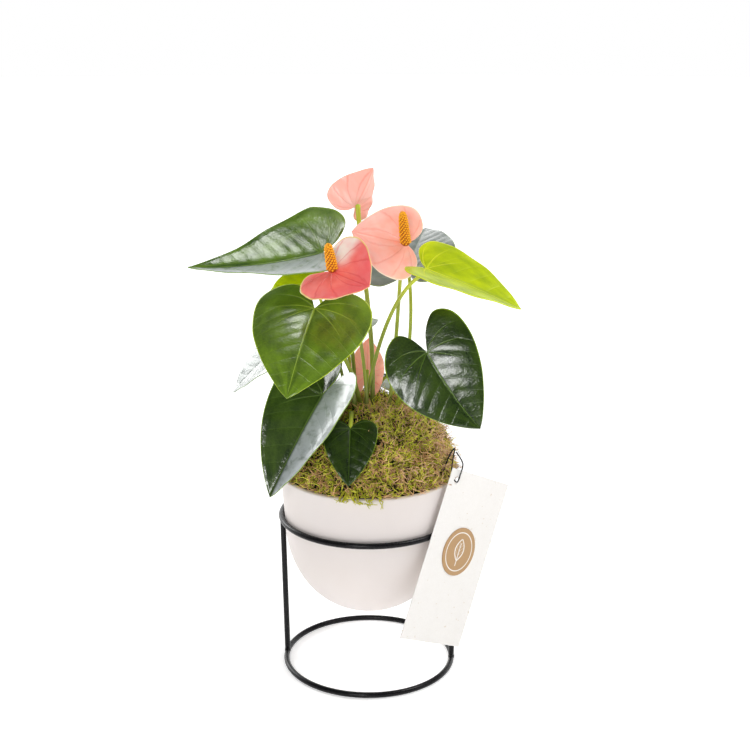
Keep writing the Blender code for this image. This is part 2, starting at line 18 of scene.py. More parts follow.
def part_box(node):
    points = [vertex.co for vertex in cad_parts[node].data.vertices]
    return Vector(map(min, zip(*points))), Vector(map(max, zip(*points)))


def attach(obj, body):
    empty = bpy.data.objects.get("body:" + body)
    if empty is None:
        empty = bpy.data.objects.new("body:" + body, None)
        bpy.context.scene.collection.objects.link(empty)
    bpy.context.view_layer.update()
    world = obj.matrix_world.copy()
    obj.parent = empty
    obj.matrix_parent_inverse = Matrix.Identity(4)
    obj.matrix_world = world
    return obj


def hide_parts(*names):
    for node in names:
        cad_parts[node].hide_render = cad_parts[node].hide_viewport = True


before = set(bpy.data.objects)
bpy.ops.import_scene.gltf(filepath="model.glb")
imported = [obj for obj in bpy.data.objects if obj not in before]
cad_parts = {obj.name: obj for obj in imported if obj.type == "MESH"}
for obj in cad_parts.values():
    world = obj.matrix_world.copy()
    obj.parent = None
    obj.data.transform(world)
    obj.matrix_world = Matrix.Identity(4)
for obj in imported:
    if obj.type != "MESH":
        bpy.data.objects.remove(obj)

MM = 0.001
BODY = "root"
BLADE_THICKNESS = 1.0 * MM
SPATHE_THICKNESS = 0.9 * MM
CROWN_RADIUS = 25.0 * MM
CROWN_DOME = 6.0 * MM
STALK_SINK = 1.5 * MM
GOLDEN_ANGLE = math.pi * (3.0 - math.sqrt(5.0))

report = logging.getLogger("anthurium")

Colour = tuple[float, float, float]
Triple = tuple[float, float, float]
Socket = bpy.types.NodeSocket
Material = bpy.types.Material
Mesh = bpy.types.Mesh


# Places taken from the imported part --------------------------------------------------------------


@dataclass(frozen=True)
class Place:
    """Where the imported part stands: the axis of the bowl and the heights read from its pieces."""

    axis: Vector
    crown_top: float
    rim: float
    seat: float
    foot: float

    @classmethod
    def read(cls) -> "Place":
        """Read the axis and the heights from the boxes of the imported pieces.

        Returns:
            The place of the plant in the frame.
        """
        low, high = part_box("stand_base_ring")
        axis = Vector(((low.x + high.x) / 2, (low.y + high.y) / 2, 0.0))
        ring_low, ring_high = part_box("stand_top_ring")
        pot_low, pot_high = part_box("ceramic_pot")
        return cls(
            axis=axis,
            crown_top=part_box("crown")[1].z,
            rim=pot_high.z,
            seat=(ring_low.z + ring_high.z) / 2,
            foot=pot_low.z,
        )

    def from_crown(self, millimetres: Triple) -> np.ndarray:
        """Turn millimetres from the top of the crown into a point in the frame."""
        return np.array(millimetres, float) * MM + np.array((*self.axis.xy, self.crown_top))


PLACE = Place.read()


# Nodes ------------------------------------------------------------------------------------------


class Bench:
    """A node tree under construction."""

    def __init__(self, tree: bpy.types.NodeTree) -> None:
        """Start on an empty or fresh tree."""
        self.tree = tree

    def node(self, kind: str, settings: dict | None = None, values: dict | None = None) -> bpy.types.Node:
        """Add one node.

        Args:
            kind: The node's type name.
            settings: Properties to set first.
            values: Socket name or number to a plain value, a Signal or a socket to link.

        Returns:
            The new node.
        """
        made = self.tree.nodes.new(kind)
        for name, value in (settings or {}).items():
            setattr(made, name, value)
        for name, value in (values or {}).items():
            socket = made.inputs[name]
            if isinstance(value, Signal):
                self.tree.links.new(value.socket, socket)
            elif isinstance(value, Socket):
                self.tree.links.new(value, socket)
            elif isinstance(value, tuple) and socket.type == "RGBA" and len(value) == 3:
                socket.default_value = (*value, 1.0)
            else:
                socket.default_value = value
        return made

    def mix(self, factor: "Number", first: "Paint", second: "Paint") -> Socket:
        """Mix two colours.

        Args:
            factor: How much of the second colour shows.
            first: Colour or colour socket.
            second: Colour or colour socket.

        Returns:
            The colour socket of the result.
        """
        made = self.node(
            "ShaderNodeMix",
            {"data_type": "RGBA", "clamp_factor": True},
            {0: factor, 6: first, 7: second},
        )
        return made.outputs[2]

    def grain(self, vector: Socket, scale: float, detail: float = 3.0, rough: float = 0.5) -> "Signal":
        """Noise of one scale, from 0 to 1."""
        values = {"Vector": vector, "Scale": scale, "Detail": detail, "Roughness": rough}
        return Signal(self, self.node("ShaderNodeTexNoise", None, values).outputs[0])

    def stretch(self, vector: Socket, scale: Triple) -> Socket:
        """Scale a vector, each direction by its own factor."""
        made = self.node("ShaderNodeVectorMath", {"operation": "MULTIPLY"}, {0: vector, 1: scale})
        return made.outputs[0]

    def parts(self, vector: Socket) -> tuple["Signal", "Signal", "Signal"]:
        """Split a vector into its three numbers."""
        made = self.node("ShaderNodeSeparateXYZ", None, {0: vector})
        return tuple(Signal(self, made.outputs[index]) for index in range(3))


@dataclass
class Signal:
    """A number in a node tree. Python arithmetic on it adds Math nodes."""

    bench: Bench
    socket: Socket

    def work(self, operation: str, *others: "Number") -> "Signal":
        """Add one Math node whose first input is this number.

        Args:
            operation: Operation of the Math node.
            *others: Its other inputs.

        Returns:
            The result.
        """
        values = dict(enumerate((self, *others)))
        made = self.bench.node("ShaderNodeMath", {"operation": operation}, values)
        return Signal(self.bench, made.outputs[0])

    def __add__(self, other: "Number") -> "Signal":
        """Sum of two numbers."""
        return self.work("ADD", other)

    __radd__ = __add__

    def __mul__(self, other: "Number") -> "Signal":
        """Product of two numbers."""
        return self.work("MULTIPLY", other)

    __rmul__ = __mul__

    def __sub__(self, other: "Number") -> "Signal":
        """This number less another."""
        return self.work("SUBTRACT", other)

    def __rsub__(self, other: float) -> "Signal":
        """A plain number less this one."""
        return self.work("MULTIPLY_ADD", -1.0, other)

    def __truediv__(self, other: "Number") -> "Signal":
        """This number over another."""
        return self.work("DIVIDE", other)

    def __pow__(self, other: "Number") -> "Signal":
        """This number to a power."""
        return self.work("POWER", other)

    def size(self) -> "Signal":
        """Absolute value."""
        return self.work("ABSOLUTE")

    def rise(self, low: float, high: float) -> "Signal":
        """Smooth step from 0 at low to 1 at high.

        Args:
            low: Where the step starts.
            high: Where it ends.

        Returns:
            The step.
        """
        values = {0: self, 1: low, 2: high, 3: 0.0, 4: 1.0}
        made = self.bench.node("ShaderNodeMapRange", {"interpolation_type": "SMOOTHSTEP"}, values)
        return Signal(self.bench, made.outputs[0])

    def fall(self, low: float, high: float) -> "Signal":
        """Smooth step from 1 at low to 0 at high."""
        return 1.0 - self.rise(low, high)

    def line(self, sharpness: float) -> "Signal":
        """A line at each whole number, up to 1 on it, narrower as sharpness nears 1."""
        return ((self.work("FRACT") - 0.5).size() * 2.0).rise(sharpness, 1.0)


Number = Union[float, Signal]
Paint = Union[Colour, Socket]


class Finish:
    """Common start of every finish: a new material and its Principled shader."""

    def open(self, name: str, **constants: float) -> tuple[Material, Bench, bpy.types.Node]:
        """Make the material.

        Args:
            name: Name of the material.
            **constants: Values of the shader's own sockets, with _ for a space.

        Returns:
            The material, its bench and its shader.
        """
        made = bpy.data.materials.new(name)
        made.use_nodes = True
        bench = Bench(made.node_tree)
        shader = made.node_tree.nodes["Principled BSDF"]
        for socket, value in constants.items():
            shader.inputs[socket.replace("_", " ")].default_value = value
        return made, bench, shader

    def close(
        self,
        bench: Bench,
        shader: bpy.types.Node,
        colour: Paint,
        roughness: Number,
        height: Signal,
        depth: float,
        strength: float = 1.0,
    ) -> None:
        """Join the colour, the roughness and a bump to the shader.

        Args:
            bench: Bench of the material.
            shader: Its Principled shader.
            colour: Base colour.
            roughness: Roughness over the surface.
            height: Relief from 0 to 1.
            depth: Height of the relief in metres.
            strength: Strength of the bump.
        """
        values = {"Strength": strength, "Distance": depth, "Height": height}
        bump = bench.node("ShaderNodeBump", None, values)
        links = bench.tree.links
        if isinstance(colour, Socket):
            links.new(colour, shader.inputs["Base Color"])
        else:
            shader.inputs["Base Color"].default_value = (*colour, 1.0)
        if isinstance(roughness, Signal):
            links.new(roughness.socket, shader.inputs["Roughness"])
        else:
            shader.inputs["Roughness"].default_value = roughness
        links.new(bump.outputs[0], shader.inputs["Normal"])


def object_coordinates(bench: Bench) -> Socket:
    """Object coordinates of the piece."""
    return bench.node("ShaderNodeTexCoord").outputs["Object"]


def own_vector(bench: Bench, name: str) -> Socket:
    """One of the piece's own vector attributes."""
    return bench.node("ShaderNodeAttribute", {"attribute_name": name}).outputs["Vector"]


def own_number(bench: Bench, name: str) -> Signal:
    """One of the piece's own number attributes."""
    return Signal(bench, bench.node("ShaderNodeAttribute", {"attribute_name": name}).outputs["Fac"])


# Finishes ---------------------------------------------------------------------------------------


@dataclass(frozen=True)
class LeafFinish(Finish):
    """Glossy leaf with a pale midrib, arching side veins, quilted fields and a thin bright rim; on some
    leaves one half also carries a painted silver reflection.
    """

    name: str
    deep: Colour
    bright: Colour
    vein: Colour
    rim: Colour
    under: Colour
    gloss: float = 0.30
    coat: float = 0.12
    side_veins: float = 7.0
    glow: float = 0.0
    rib: float = 0.55
    # Share of painted silver reflection mixed into one half of the blade.
    painted_sheen: float = 0.0

    def material(self) -> Material:
        """Build the material from the flat place of each point on the blade.

        Returns:
            The finished material.
        """
        made, bench, shader = self.open(
            self.name,
            Coat_Weight=self.coat,
            Coat_Roughness=0.14,
            Specular_IOR_Level=0.22 + self.coat * 0.7,
            Subsurface_Weight=self.glow,
            Subsurface_Scale=0.004,
            Subsurface_Radius=(0.9, 1.0, 0.3),
        )
        flat = own_vector(bench, "blade_place")
        top = own_number(bench, "blade_side")
        x, y, out = bench.parts(flat)
        half = x.size()
        reach = (half * half + y * y) ** 0.5
        turn = half.work("ARCTAN2", y)
        midrib = (half / (1.12 - y)).fall(0.004, 0.016) * y.rise(-0.01, 0.02)
        ribs = midrib
        for start, bend, width in ((1.62, 0.62, 0.011), (2.36, 1.25, 0.010), (1.02, 0.42, 0.008)):
            apart = (turn - (start - bend * reach)).size() * reach
            fade = reach.fall(0.15, 0.52)
            ribs = ribs.work("MAXIMUM", apart.fall(width * 0.25, width) * fade * 0.8)
        sweep = y - half * 0.42 - half * half * 0.55
        field = turn.fall(1.25, 1.6) * half.rise(0.0, 0.05)
        pinnate = (sweep * self.side_veins).line(0.86) * field
        quilt = ((sweep * self.side_veins).work("FRACT") - 0.5).size() * 2.0
        net = bench.node(
            "ShaderNodeTexVoronoi",
            {"feature": "DISTANCE_TO_EDGE"},
            {"Vector": bench.stretch(flat, (26.0, 34.0, 0.0)), "Scale": 1.0},
        )
        mesh = Signal(bench, net.outputs["Distance"]).rise(0.0, 0.16)
        grain = bench.grain(flat, 3.4, 4.0)
        fine = bench.grain(bench.stretch(flat, (60.0, 60.0, 0.0)), 1.0, 3.0)
        body = bench.mix((grain - 0.36) * 2.2 + out * 0.18, self.deep, self.bright)
        body = bench.mix((1.0 - mesh) * 0.06, body, self.vein)
        body = bench.mix(pinnate * 0.09, body, self.vein)
        body = bench.mix(ribs * self.rib, body, self.vein)
        # Painted reflection: one half of the blade turns silver in cloudy patches, standing in for glare.
        if self.painted_sheen:
            sheen_cloud = bench.grain(bench.stretch(flat, (7.0, 12.0, 0.0)), 1.0, 5.0, 0.6).rise(0.10, 0.56)
            body = bench.mix(x.fall(-0.05, 0.0) * sheen_cloud * self.painted_sheen, body, (0.58, 0.62, 0.65))
        body = bench.mix(out.rise(0.972, 0.992) * 0.9, body, self.rim)
        below = bench.mix(ribs * 0.6 + pinnate * 0.25, self.under, self.vein)
        colour = bench.mix(top.rise(0.35, 0.65), below, body)
        crumple = bench.grain(bench.stretch(flat, (8.0, 15.0, 0.0)), 1.0, 2.0)
        relief = 0.50 - ribs * 0.4 - pinnate * 0.10 - (quilt ** 3.0) * field * 0.12
        relief = relief + mesh * 0.03 + fine * 0.012 + crumple * 0.36
        roughness = self.gloss + fine * 0.08 + (1.0 - top) * 0.15
        self.close(bench, shader, colour, roughness, relief, 0.9 * MM, 0.8)
        return made


@dataclass(frozen=True)
class SpatheFinish(Finish):
    """Waxy spathe: veins fan out from the joint and the colour fades towards the rim. It carries a faint
    painted glow, and on some spathes a painted highlight on one lobe.
    """

    name: str
    heart: Colour
    body: Colour
    pale: Colour
    vein: Colour
    rim: Colour
    under: Colour
    # Strength of the painted glow: the spathe emits its own colour, standing in for light shining through.
    painted_glow: float = 0.05
    # Share of a painted highlight on one lobe, and of deeper pink towards the tip.
    painted_glare_and_deep_pink: float = 0.0

    def material(self) -> Material:
        """Build the material from the flat place of each point on the spathe.

        Returns:
            The finished material.
        """
        made, bench, shader = self.open(
            self.name,
            Coat_Weight=0.20,
            Coat_Roughness=0.18,
            Specular_IOR_Level=0.45,
            Subsurface_Weight=0.35,
            Subsurface_Scale=0.004,
            Subsurface_Radius=(1.0, 0.35, 0.25),
        )
        flat = own_vector(bench, "blade_place")
        top = own_number(bench, "blade_side")
        x, y, out = bench.parts(flat)
        half = x.size()
        reach = (half * half + y * y) ** 0.5
        turn = half.work("ARCTAN2", y)
        waver = bench.grain(flat, 5.0, 2.0) * 0.22
        fan = turn * 1.75 + reach * 0.9 + waver
        veins = fan.line(0.80) * reach.rise(0.02, 0.12) * out.fall(0.86, 1.0)
        midrib = half.fall(0.004, 0.022) * y.rise(-0.01, 0.03)
        lines = veins.work("MAXIMUM", midrib)
        cloud = bench.grain(flat, 4.0, 4.0)
        fine = bench.grain(bench.stretch(flat, (55.0, 55.0, 0.0)), 1.0, 3.0)
        speck = bench.grain(flat, 46.0, 1.0).rise(0.76, 0.82)
        body = bench.mix(reach.rise(0.05, 0.75), self.heart, self.body)
        body = bench.mix((cloud - 0.35) * 1.5 + out * 0.25, body, self.pale)
        if self.painted_glare_and_deep_pink:
            # Painted highlight: a pale cream patch on the upper lobe stands in for glare; then the far part
            # turns deeper pink.
            lobe = x.fall(-0.34, -0.06) * y.fall(0.0, 0.30) * (cloud * 0.8 + 0.6)
            body = bench.mix(lobe * self.painted_glare_and_deep_pink, body, (0.97, 0.84, 0.76))
            body = bench.mix((y + half * 0.4).rise(0.3, 0.8) * self.painted_glare_and_deep_pink * 0.6, body, (0.80, 0.10, 0.13))
        body = bench.mix(lines * 0.42, body, self.vein)
        body = bench.mix(speck * 0.35, body, self.vein)
        body = bench.mix(out.rise(0.955, 0.99), body, self.rim)
        below = bench.mix(lines * 0.5, self.under, self.vein)
        colour = bench.mix(top.rise(0.35, 0.65), below, body)
        # Painted glow: the colour is emitted, standing in for light coming through the spathe.
        bench.tree.links.new(colour, shader.inputs["Emission Color"])
        shader.inputs["Emission Strength"].default_value = self.painted_glow
        relief = 0.5 - lines * 0.45 + fine * 0.12 + cloud * 0.10
        self.close(bench, shader, colour, 0.30 + fine * 0.14, relief, 0.6 * MM, 0.7)
        return made


@dataclass(frozen=True)
class StemFinish(Finish):
    """Stalk: streaked along its length, with its foot and its top in colours of their own."""

    name: str
    foot: Colour
    middle: Colour
    top: Colour

    def material(self) -> Material:
        """Build the material from the place along and around the stalk.

        Returns:
            The finished material.
        """
        made, bench, shader = self.open(
            self.name, Coat_Weight=0.15, Coat_Roughness=0.2, Specular_IOR_Level=0.45
        )
        flat = own_vector(bench, "stem_place")
        along, around, _ = bench.parts(flat)
        streak = bench.grain(bench.stretch(flat, (5.0, 9.0, 1.0)), 1.0, 4.0)
        rib = ((around * 9.0).work("FRACT") - 0.5).size() * 2.0
        body = bench.mix(along.rise(0.02, 0.22), self.foot, self.middle)
        body = bench.mix(along.rise(0.45, 0.98), body, self.top)
        body = bench.mix((streak - 0.4) * 1.6, body, self.foot)
        self.close(bench, shader, body, 0.38 + streak * 0.15, streak * 0.5 + rib * 0.4, 0.15 * MM, 0.6)
        return made


@dataclass(frozen=True)
class SpadixFinish(Finish):
    """Spadix: golden florets; the rod between them is much darker, a painted shade in the gaps, with fine
    darker flecks.
    """

    name: str = "spadix_gold"
    crest: Colour = (0.98, 0.46, 0.012)
    painted_gap_shade_and_fleck: Colour = (0.42, 0.085, 0.002)

    def material(self) -> Material:
        """Build the material from the floret attribute and a fine grain.

        Returns:
            The finished material.
        """
        made, bench, shader = self.open(self.name, Specular_IOR_Level=0.35)
        floret = own_number(bench, "floret")
        where = object_coordinates(bench)
        grain = bench.grain(where, 900.0, 3.0)
        # Painted shade: the rod shows between the florets in a much darker colour; a fine grain adds darker
        # flecks.
        body = bench.mix(floret.rise(0.0, 0.7), self.painted_gap_shade_and_fleck, self.crest)
        body = bench.mix((grain - 0.45) * 1.2, body, self.painted_gap_shade_and_fleck)
        self.close(bench, shader, body, 0.5 + grain * 0.2, grain, 0.15 * MM, 0.6)
        return made


@dataclass(frozen=True)
class MossFinish(Finish):
    """Moss fibre: each fibre has its own tint, patches of the mound dry to another colour, and a coarse
    noise darkens the gaps between clumps as painted shade.
    """

    name: str
    dark: Colour
    fresh: Colour
    dry: Colour
    dryness: float

    def material(self) -> Material:
        """Build the material from the fibre's own tint and the place on the mound.

        Returns:
            The finished material.
        """
        made, bench, shader = self.open(self.name, Specular_IOR_Level=0.25)
        where = object_coordinates(bench)
        tint = own_number(bench, "tint")
        tip = own_number(bench, "tip")
        east, north, _ = bench.parts(where)
        patch = bench.grain(where, 60.0, 3.0) + (east - PLACE.axis.x) * 4.6 + (north - PLACE.axis.y) * 1.8
        grain = bench.grain(where, 600.0, 2.0)
        body = bench.mix(tip * 0.8 + tint * 0.6, self.dark, self.fresh)
        dried = ((patch - 0.60 + self.dryness) * 3.6 + (tint - 0.5) * 0.8) * (tip + 0.15)
        body = bench.mix(dried, body, self.dry)
        body = bench.mix((grain - 0.5) * 0.6, body, self.dark)
        # Painted shade: dark gaps between clumps, where shadow would fall among the fibres.
        painted_clump_shade = bench.grain(where, 170.0, 2.0)
        body = bench.mix(painted_clump_shade.fall(0.36, 0.50) * 0.6, body, self.dark)
        self.close(bench, shader, body, 0.7 + grain * 0.2, grain, 0.1 * MM, 0.5)
        return made


@dataclass(frozen=True)
class EarthFinish(Finish):
    """Crumbly ground for the moss bed, the crown and the root ball."""

    name: str
    dark: Colour
    light: Colour
    scale: float = 260.0
    depth: float = 1.2 * MM

    def material(self) -> Material:
        """Build the material from two grains.

        Returns:
            The finished material.
        """
        made, bench, shader = self.open(self.name, Specular_IOR_Level=0.2)
        where = object_coordinates(bench)
        coarse = bench.grain(where, self.scale, 5.0, 0.65)
        fine = bench.grain(where, self.scale * 5.0, 2.0)
        body = bench.mix((coarse - 0.35) * 2.2, self.dark, self.light)
        body = bench.mix((fine - 0.5) * 1.2, body, self.dark)
        self.close(bench, shader, body, 0.9, coarse * 0.8 + fine * 0.2, self.depth)
        return made


@dataclass(frozen=True)
class CeramicFinish(Finish):
    """Matt glaze of the bowl: warm white with faint warmer clouds, pin specks and a thin tan-brown line
    along the lip.
    """

    name: str = "bowl_glaze"
    body: Colour = (0.765, 0.705, 0.68)
    warm: Colour = (0.715, 0.645, 0.60)
    lip: Colour = (0.60, 0.49, 0.39)

    def material(self) -> Material:
        """Build the material from object coordinates.

        Returns:
            The finished material.
        """
        made, bench, shader = self.open(
            self.name, Coat_Weight=0.12, Coat_Roughness=0.35, Specular_IOR_Level=0.4
        )
        where = object_coordinates(bench)
        _, _, height = bench.parts(where)
        cloud = bench.grain(where, 22.0, 3.0)
        peel = bench.grain(where, 420.0, 3.0)
        speck = bench.grain(where, 1300.0, 1.0).rise(0.74, 0.80)
        turning = bench.grain(bench.stretch(where, (20.0, 20.0, 700.0)), 1.0, 2.0)
        body = bench.mix((cloud - 0.4) * 1.3, self.body, self.warm)
        body = bench.mix(speck * 0.25, body, self.lip)
        edge = height.rise(PLACE.rim - 1.1 * MM, PLACE.rim - 0.2 * MM)
        body = bench.mix(edge * 0.55, body, self.lip)
        self.close(bench, shader, body, 0.46 + peel * 0.16, peel * 0.5 + turning * 0.5, 0.16 * MM, 0.5)
        return made


@dataclass(frozen=True)
class CoatFinish(Finish):
    """Satin powder coat on wire, or moulded plastic: a fine orange peel over one dark colour."""

    name: str
    body: Colour
    worn: Colour
    roughness: float
    scale: float = 1500.0
    depth: float = 0.06 * MM

    def material(self) -> Material:
        """Build the material from object coordinates.

        Returns:
            The finished material.
        """
        made, bench, shader = self.open(self.name, Specular_IOR_Level=0.22)
        where = object_coordinates(bench)
        peel = bench.grain(where, self.scale, 2.0)
        rub = bench.grain(where, 90.0, 4.0).rise(0.62, 0.78)
        body = bench.mix(rub * 0.35, self.body, self.worn)
        self.close(bench, shader, body, self.roughness + peel * 0.14 + rub * 0.08, peel, self.depth, 0.6)
        return made


@dataclass(frozen=True)
class PaperFinish(Finish):
    """Rough handmade card: felted fibres, shallow dimples and a few pale brown flecks."""

    name: str = "tag_paper"
    body: Colour = (0.89, 0.865, 0.835)
    shade: Colour = (0.82, 0.79, 0.75)
    fleck: Colour = (0.62, 0.50, 0.36)

    def material(self) -> Material:
        """Build the material from object coordinates.

        Returns:
            The finished material.
        """
        made, bench, shader = self.open(self.name, Specular_IOR_Level=0.2, Sheen_Weight=0.1)
        where = object_coordinates(bench)
        dimple = bench.grain(where, 130.0, 3.0)
        felt = bench.grain(where, 700.0, 4.0, 0.65)
        fleck = bench.grain(bench.stretch(where, (330.0, 330.0, 520.0)), 1.0, 1.0).rise(0.735, 0.775)
        body = bench.mix((felt - 0.4) * 1.2, self.body, self.shade)
        body = bench.mix((dimple - 0.45) * 0.8, body, self.shade)
        body = bench.mix(fleck * 0.45, body, self.fleck)
        self.close(bench, shader, body, 0.85, dimple * 0.6 + felt * 0.4, 0.35 * MM, 0.8)
        return made


@dataclass(frozen=True)
class StickerFinish(Finish):
    """Kraft sticker printed in white with a ring and one plain leaf."""

    name: str = "sticker_kraft"
    kraft: Colour = (0.51, 0.315, 0.155)
    speck: Colour = (0.38, 0.24, 0.11)
    ink: Colour = (0.90, 0.87, 0.82)

    def material(self) -> Material:
        """Build the material from the place on the disc, which runs from -1 to 1.

        Returns:
            The finished material.
        """
        made, bench, shader = self.open(self.name, Specular_IOR_Level=0.3)
        flat = own_vector(bench, "print_place")
        u, v, _ = bench.parts(flat)
        radius = (u * u + v * v) ** 0.5
        ring = (radius - 0.80).size().fall(0.012, 0.03)
        width = (1.0 - ((v - 0.08) / 0.46) ** 2.0) * 0.27
        inside = (v - 0.08).size().fall(0.44, 0.47)
        leaf = (u.size() - width).size().fall(0.018, 0.040) * inside
        stalk = u.size().fall(0.012, 0.032) * (v + 0.12).size().fall(0.46, 0.49)
        barb = ((v - u.size() * 0.9) * 6.5).line(0.82) * (width - u.size()).rise(0.02, 0.05) * inside
        ink = ring.work("MAXIMUM", leaf).work("MAXIMUM", stalk).work("MAXIMUM", barb * 0.9)
        fibre = bench.grain(bench.stretch(flat, (18.0, 60.0, 1.0)), 1.0, 4.0)
        body = bench.mix((fibre - 0.42) * 1.8, self.kraft, self.speck)
        body = bench.mix(ink, body, self.ink)
        self.close(bench, shader, body, 0.6 + fibre * 0.15, fibre * 0.7 + ink * 0.3, 0.08 * MM, 0.7)
        return made


STEM = StemFinish("stem_green", (0.20, 0.21, 0.045), (0.36, 0.43, 0.035), (0.56, 0.64, 0.03))
BRACT = StemFinish("sheath_green", (0.20, 0.26, 0.04), (0.38, 0.48, 0.06), (0.40, 0.36, 0.14))


class Blade(Enum):
    """Finishes of the leaf blades."""

    DARK = LeafFinish(
        "leaf_dark", (0.010, 0.026, 0.003), (0.040, 0.076, 0.006), (0.15, 0.27, 0.03),
        (0.30, 0.46, 0.02), (0.09, 0.17, 0.03), 0.15, 0.30, 6.0,
    )
    LOW = LeafFinish(
        "leaf_low", (0.006, 0.017, 0.002), (0.026, 0.052, 0.003), (0.10, 0.19, 0.02),
        (0.22, 0.36, 0.02), (0.07, 0.14, 0.02), 0.22, 0.12, 6.0,
    )
    # Dark leaf with a painted silver reflection over one half.
    HALF_PAINTED_SHEEN = LeafFinish(
        "leaf_half_painted_sheen", (0.014, 0.034, 0.005), (0.060, 0.108, 0.012), (0.17, 0.28, 0.05),
        (0.30, 0.46, 0.02), (0.09, 0.17, 0.03), 0.15, 0.40, 6.0, 0.0, 0.50, 0.92,
    )
    MIDDLE = LeafFinish(
        "leaf_middle", (0.060, 0.115, 0.006), (0.165, 0.290, 0.010), (0.40, 0.58, 0.05),
        (0.50, 0.66, 0.02), (0.15, 0.27, 0.03), 0.25, 0.35, 7.0, 0.0, 0.62,
    )
    # Its last number paints a silver reflection over the near half.
    FRESH = LeafFinish(
        "leaf_fresh", (0.028, 0.075, 0.006), (0.165, 0.300, 0.014), (0.28, 0.45, 0.08),
        (0.24, 0.38, 0.05), (0.22, 0.34, 0.10), 0.20, 0.30, 10.0, 0.0, 0.40, 0.80,
    )
    LIME = LeafFinish(
        "leaf_lime", (0.32, 0.44, 0.001), (0.60, 0.72, 0.001), (0.78, 0.86, 0.02),
        (0.74, 0.82, 0.02), (0.40, 0.50, 0.02), 0.36, 0.0, 5.0, 0.15, 0.80,
    )
    OLIVE = LeafFinish(
        "leaf_olive", (0.50, 0.61, 0.001), (0.68, 0.78, 0.002), (0.74, 0.82, 0.04),
        (0.60, 0.74, 0.04), (0.38, 0.50, 0.05), 0.32, 0.05, 6.0, 0.2,
    )
    # Painted reflection: grey-silver colours stand in for the pale sheen on the back leaves.
    GREY_PAINTED_SHEEN = LeafFinish(
        "leaf_grey_painted_sheen", (0.15, 0.19, 0.16), (0.29, 0.33, 0.32), (0.36, 0.44, 0.28),
        (0.34, 0.46, 0.18), (0.30, 0.36, 0.30), 0.18, 0.50, 7.0,
    )


class Petal(Enum):
    """Finishes of the spathes."""

    # Its last two numbers are the painted glow and the painted highlight with deeper pink.
    CORAL = SpatheFinish(
        "spathe_coral", (0.86, 0.13, 0.10), (0.88, 0.15, 0.13), (0.92, 0.26, 0.22),
        (0.70, 0.055, 0.055), (0.80, 0.62, 0.20), (0.98, 0.42, 0.34), 0.05, 0.85,
    )
    SALMON = SpatheFinish(
        "spathe_salmon", (0.93, 0.36, 0.25), (0.95, 0.43, 0.35), (0.97, 0.58, 0.52),
        (0.84, 0.26, 0.19), (0.97, 0.76, 0.60), (0.93, 0.46, 0.38),
    )
    # Copy of the salmon spathe with a much stronger painted glow, for the low spathe among the stems.
    BLUSH_PAINTED_GLOW = SpatheFinish(
        "spathe_blush_painted_glow", (0.93, 0.36, 0.28), (0.95, 0.40, 0.33), (0.97, 0.52, 0.45),
        (0.84, 0.22, 0.18), (0.97, 0.70, 0.50), (0.98, 0.46, 0.36), 0.30,
    )


# Mesh makers ------------------------------------------------------------------------------------


def add_piece(name: str, mesh: Mesh, finish: Material) -> bpy.types.Object:
    """Put a mesh in the scene with one material.

    Args:
        name: Name of the piece.
        mesh: Its mesh, already in place.
        finish: Its material.

    Returns:
        The new object at the origin.
    """
    mesh.materials.clear()
    mesh.materials.append(finish)
    piece = bpy.data.objects.new(name, mesh)
    bpy.context.scene.collection.objects.link(piece)
    return piece


def settle(piece: bpy.types.Object, slot: str, *nodes: str) -> bpy.types.Object:
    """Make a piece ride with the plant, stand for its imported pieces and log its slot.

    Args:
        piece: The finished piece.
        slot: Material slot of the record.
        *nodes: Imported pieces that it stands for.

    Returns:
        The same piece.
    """
    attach(piece, BODY)
    if nodes:
        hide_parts(*nodes)
    report.info("%s: %d faces, slot %s", piece.name, len(piece.data.polygons), slot)
    return piece


def place_piece(name: str, mesh: Mesh, finish: Material, slot: str, *nodes: str) -> None:
    """Add a finished piece and settle it."""
    settle(add_piece(name, mesh, finish), slot, *nodes)


def bake(piece: bpy.types.Object) -> bpy.types.Object:
    """Turn a piece's modifiers into a plain mesh.

    Args:
        piece: Object with live modifiers.

    Returns:
        The same object with a plain mesh and no modifiers.
    """
    bpy.context.view_layer.update()
    graph = bpy.context.evaluated_depsgraph_get()
    plain = bpy.data.meshes.new_from_object(
        piece.evaluated_get(graph), preserve_all_data_layers=True, depsgraph=graph
    )
    piece.modifiers.clear()
    piece.data = plain
    return piece


def mesh_of(name: str, work: bmesh.types.BMesh) -> Mesh:
    """Turn a BMesh into a smooth mesh and free it.

    Args:
        name: Name of the mesh.
        work: The BMesh.

    Returns:
        The mesh.
    """
    mesh = bpy.data.meshes.new(name)
    work.to_mesh(mesh)
    work.free()
    mesh.shade_smooth()
    return mesh


def gather(bunch: bmesh.types.BMesh, mesh: Mesh) -> None:
    """Add a mesh to a bunch and remove it."""
    bunch.from_mesh(mesh)
    bpy.data.meshes.remove(mesh)


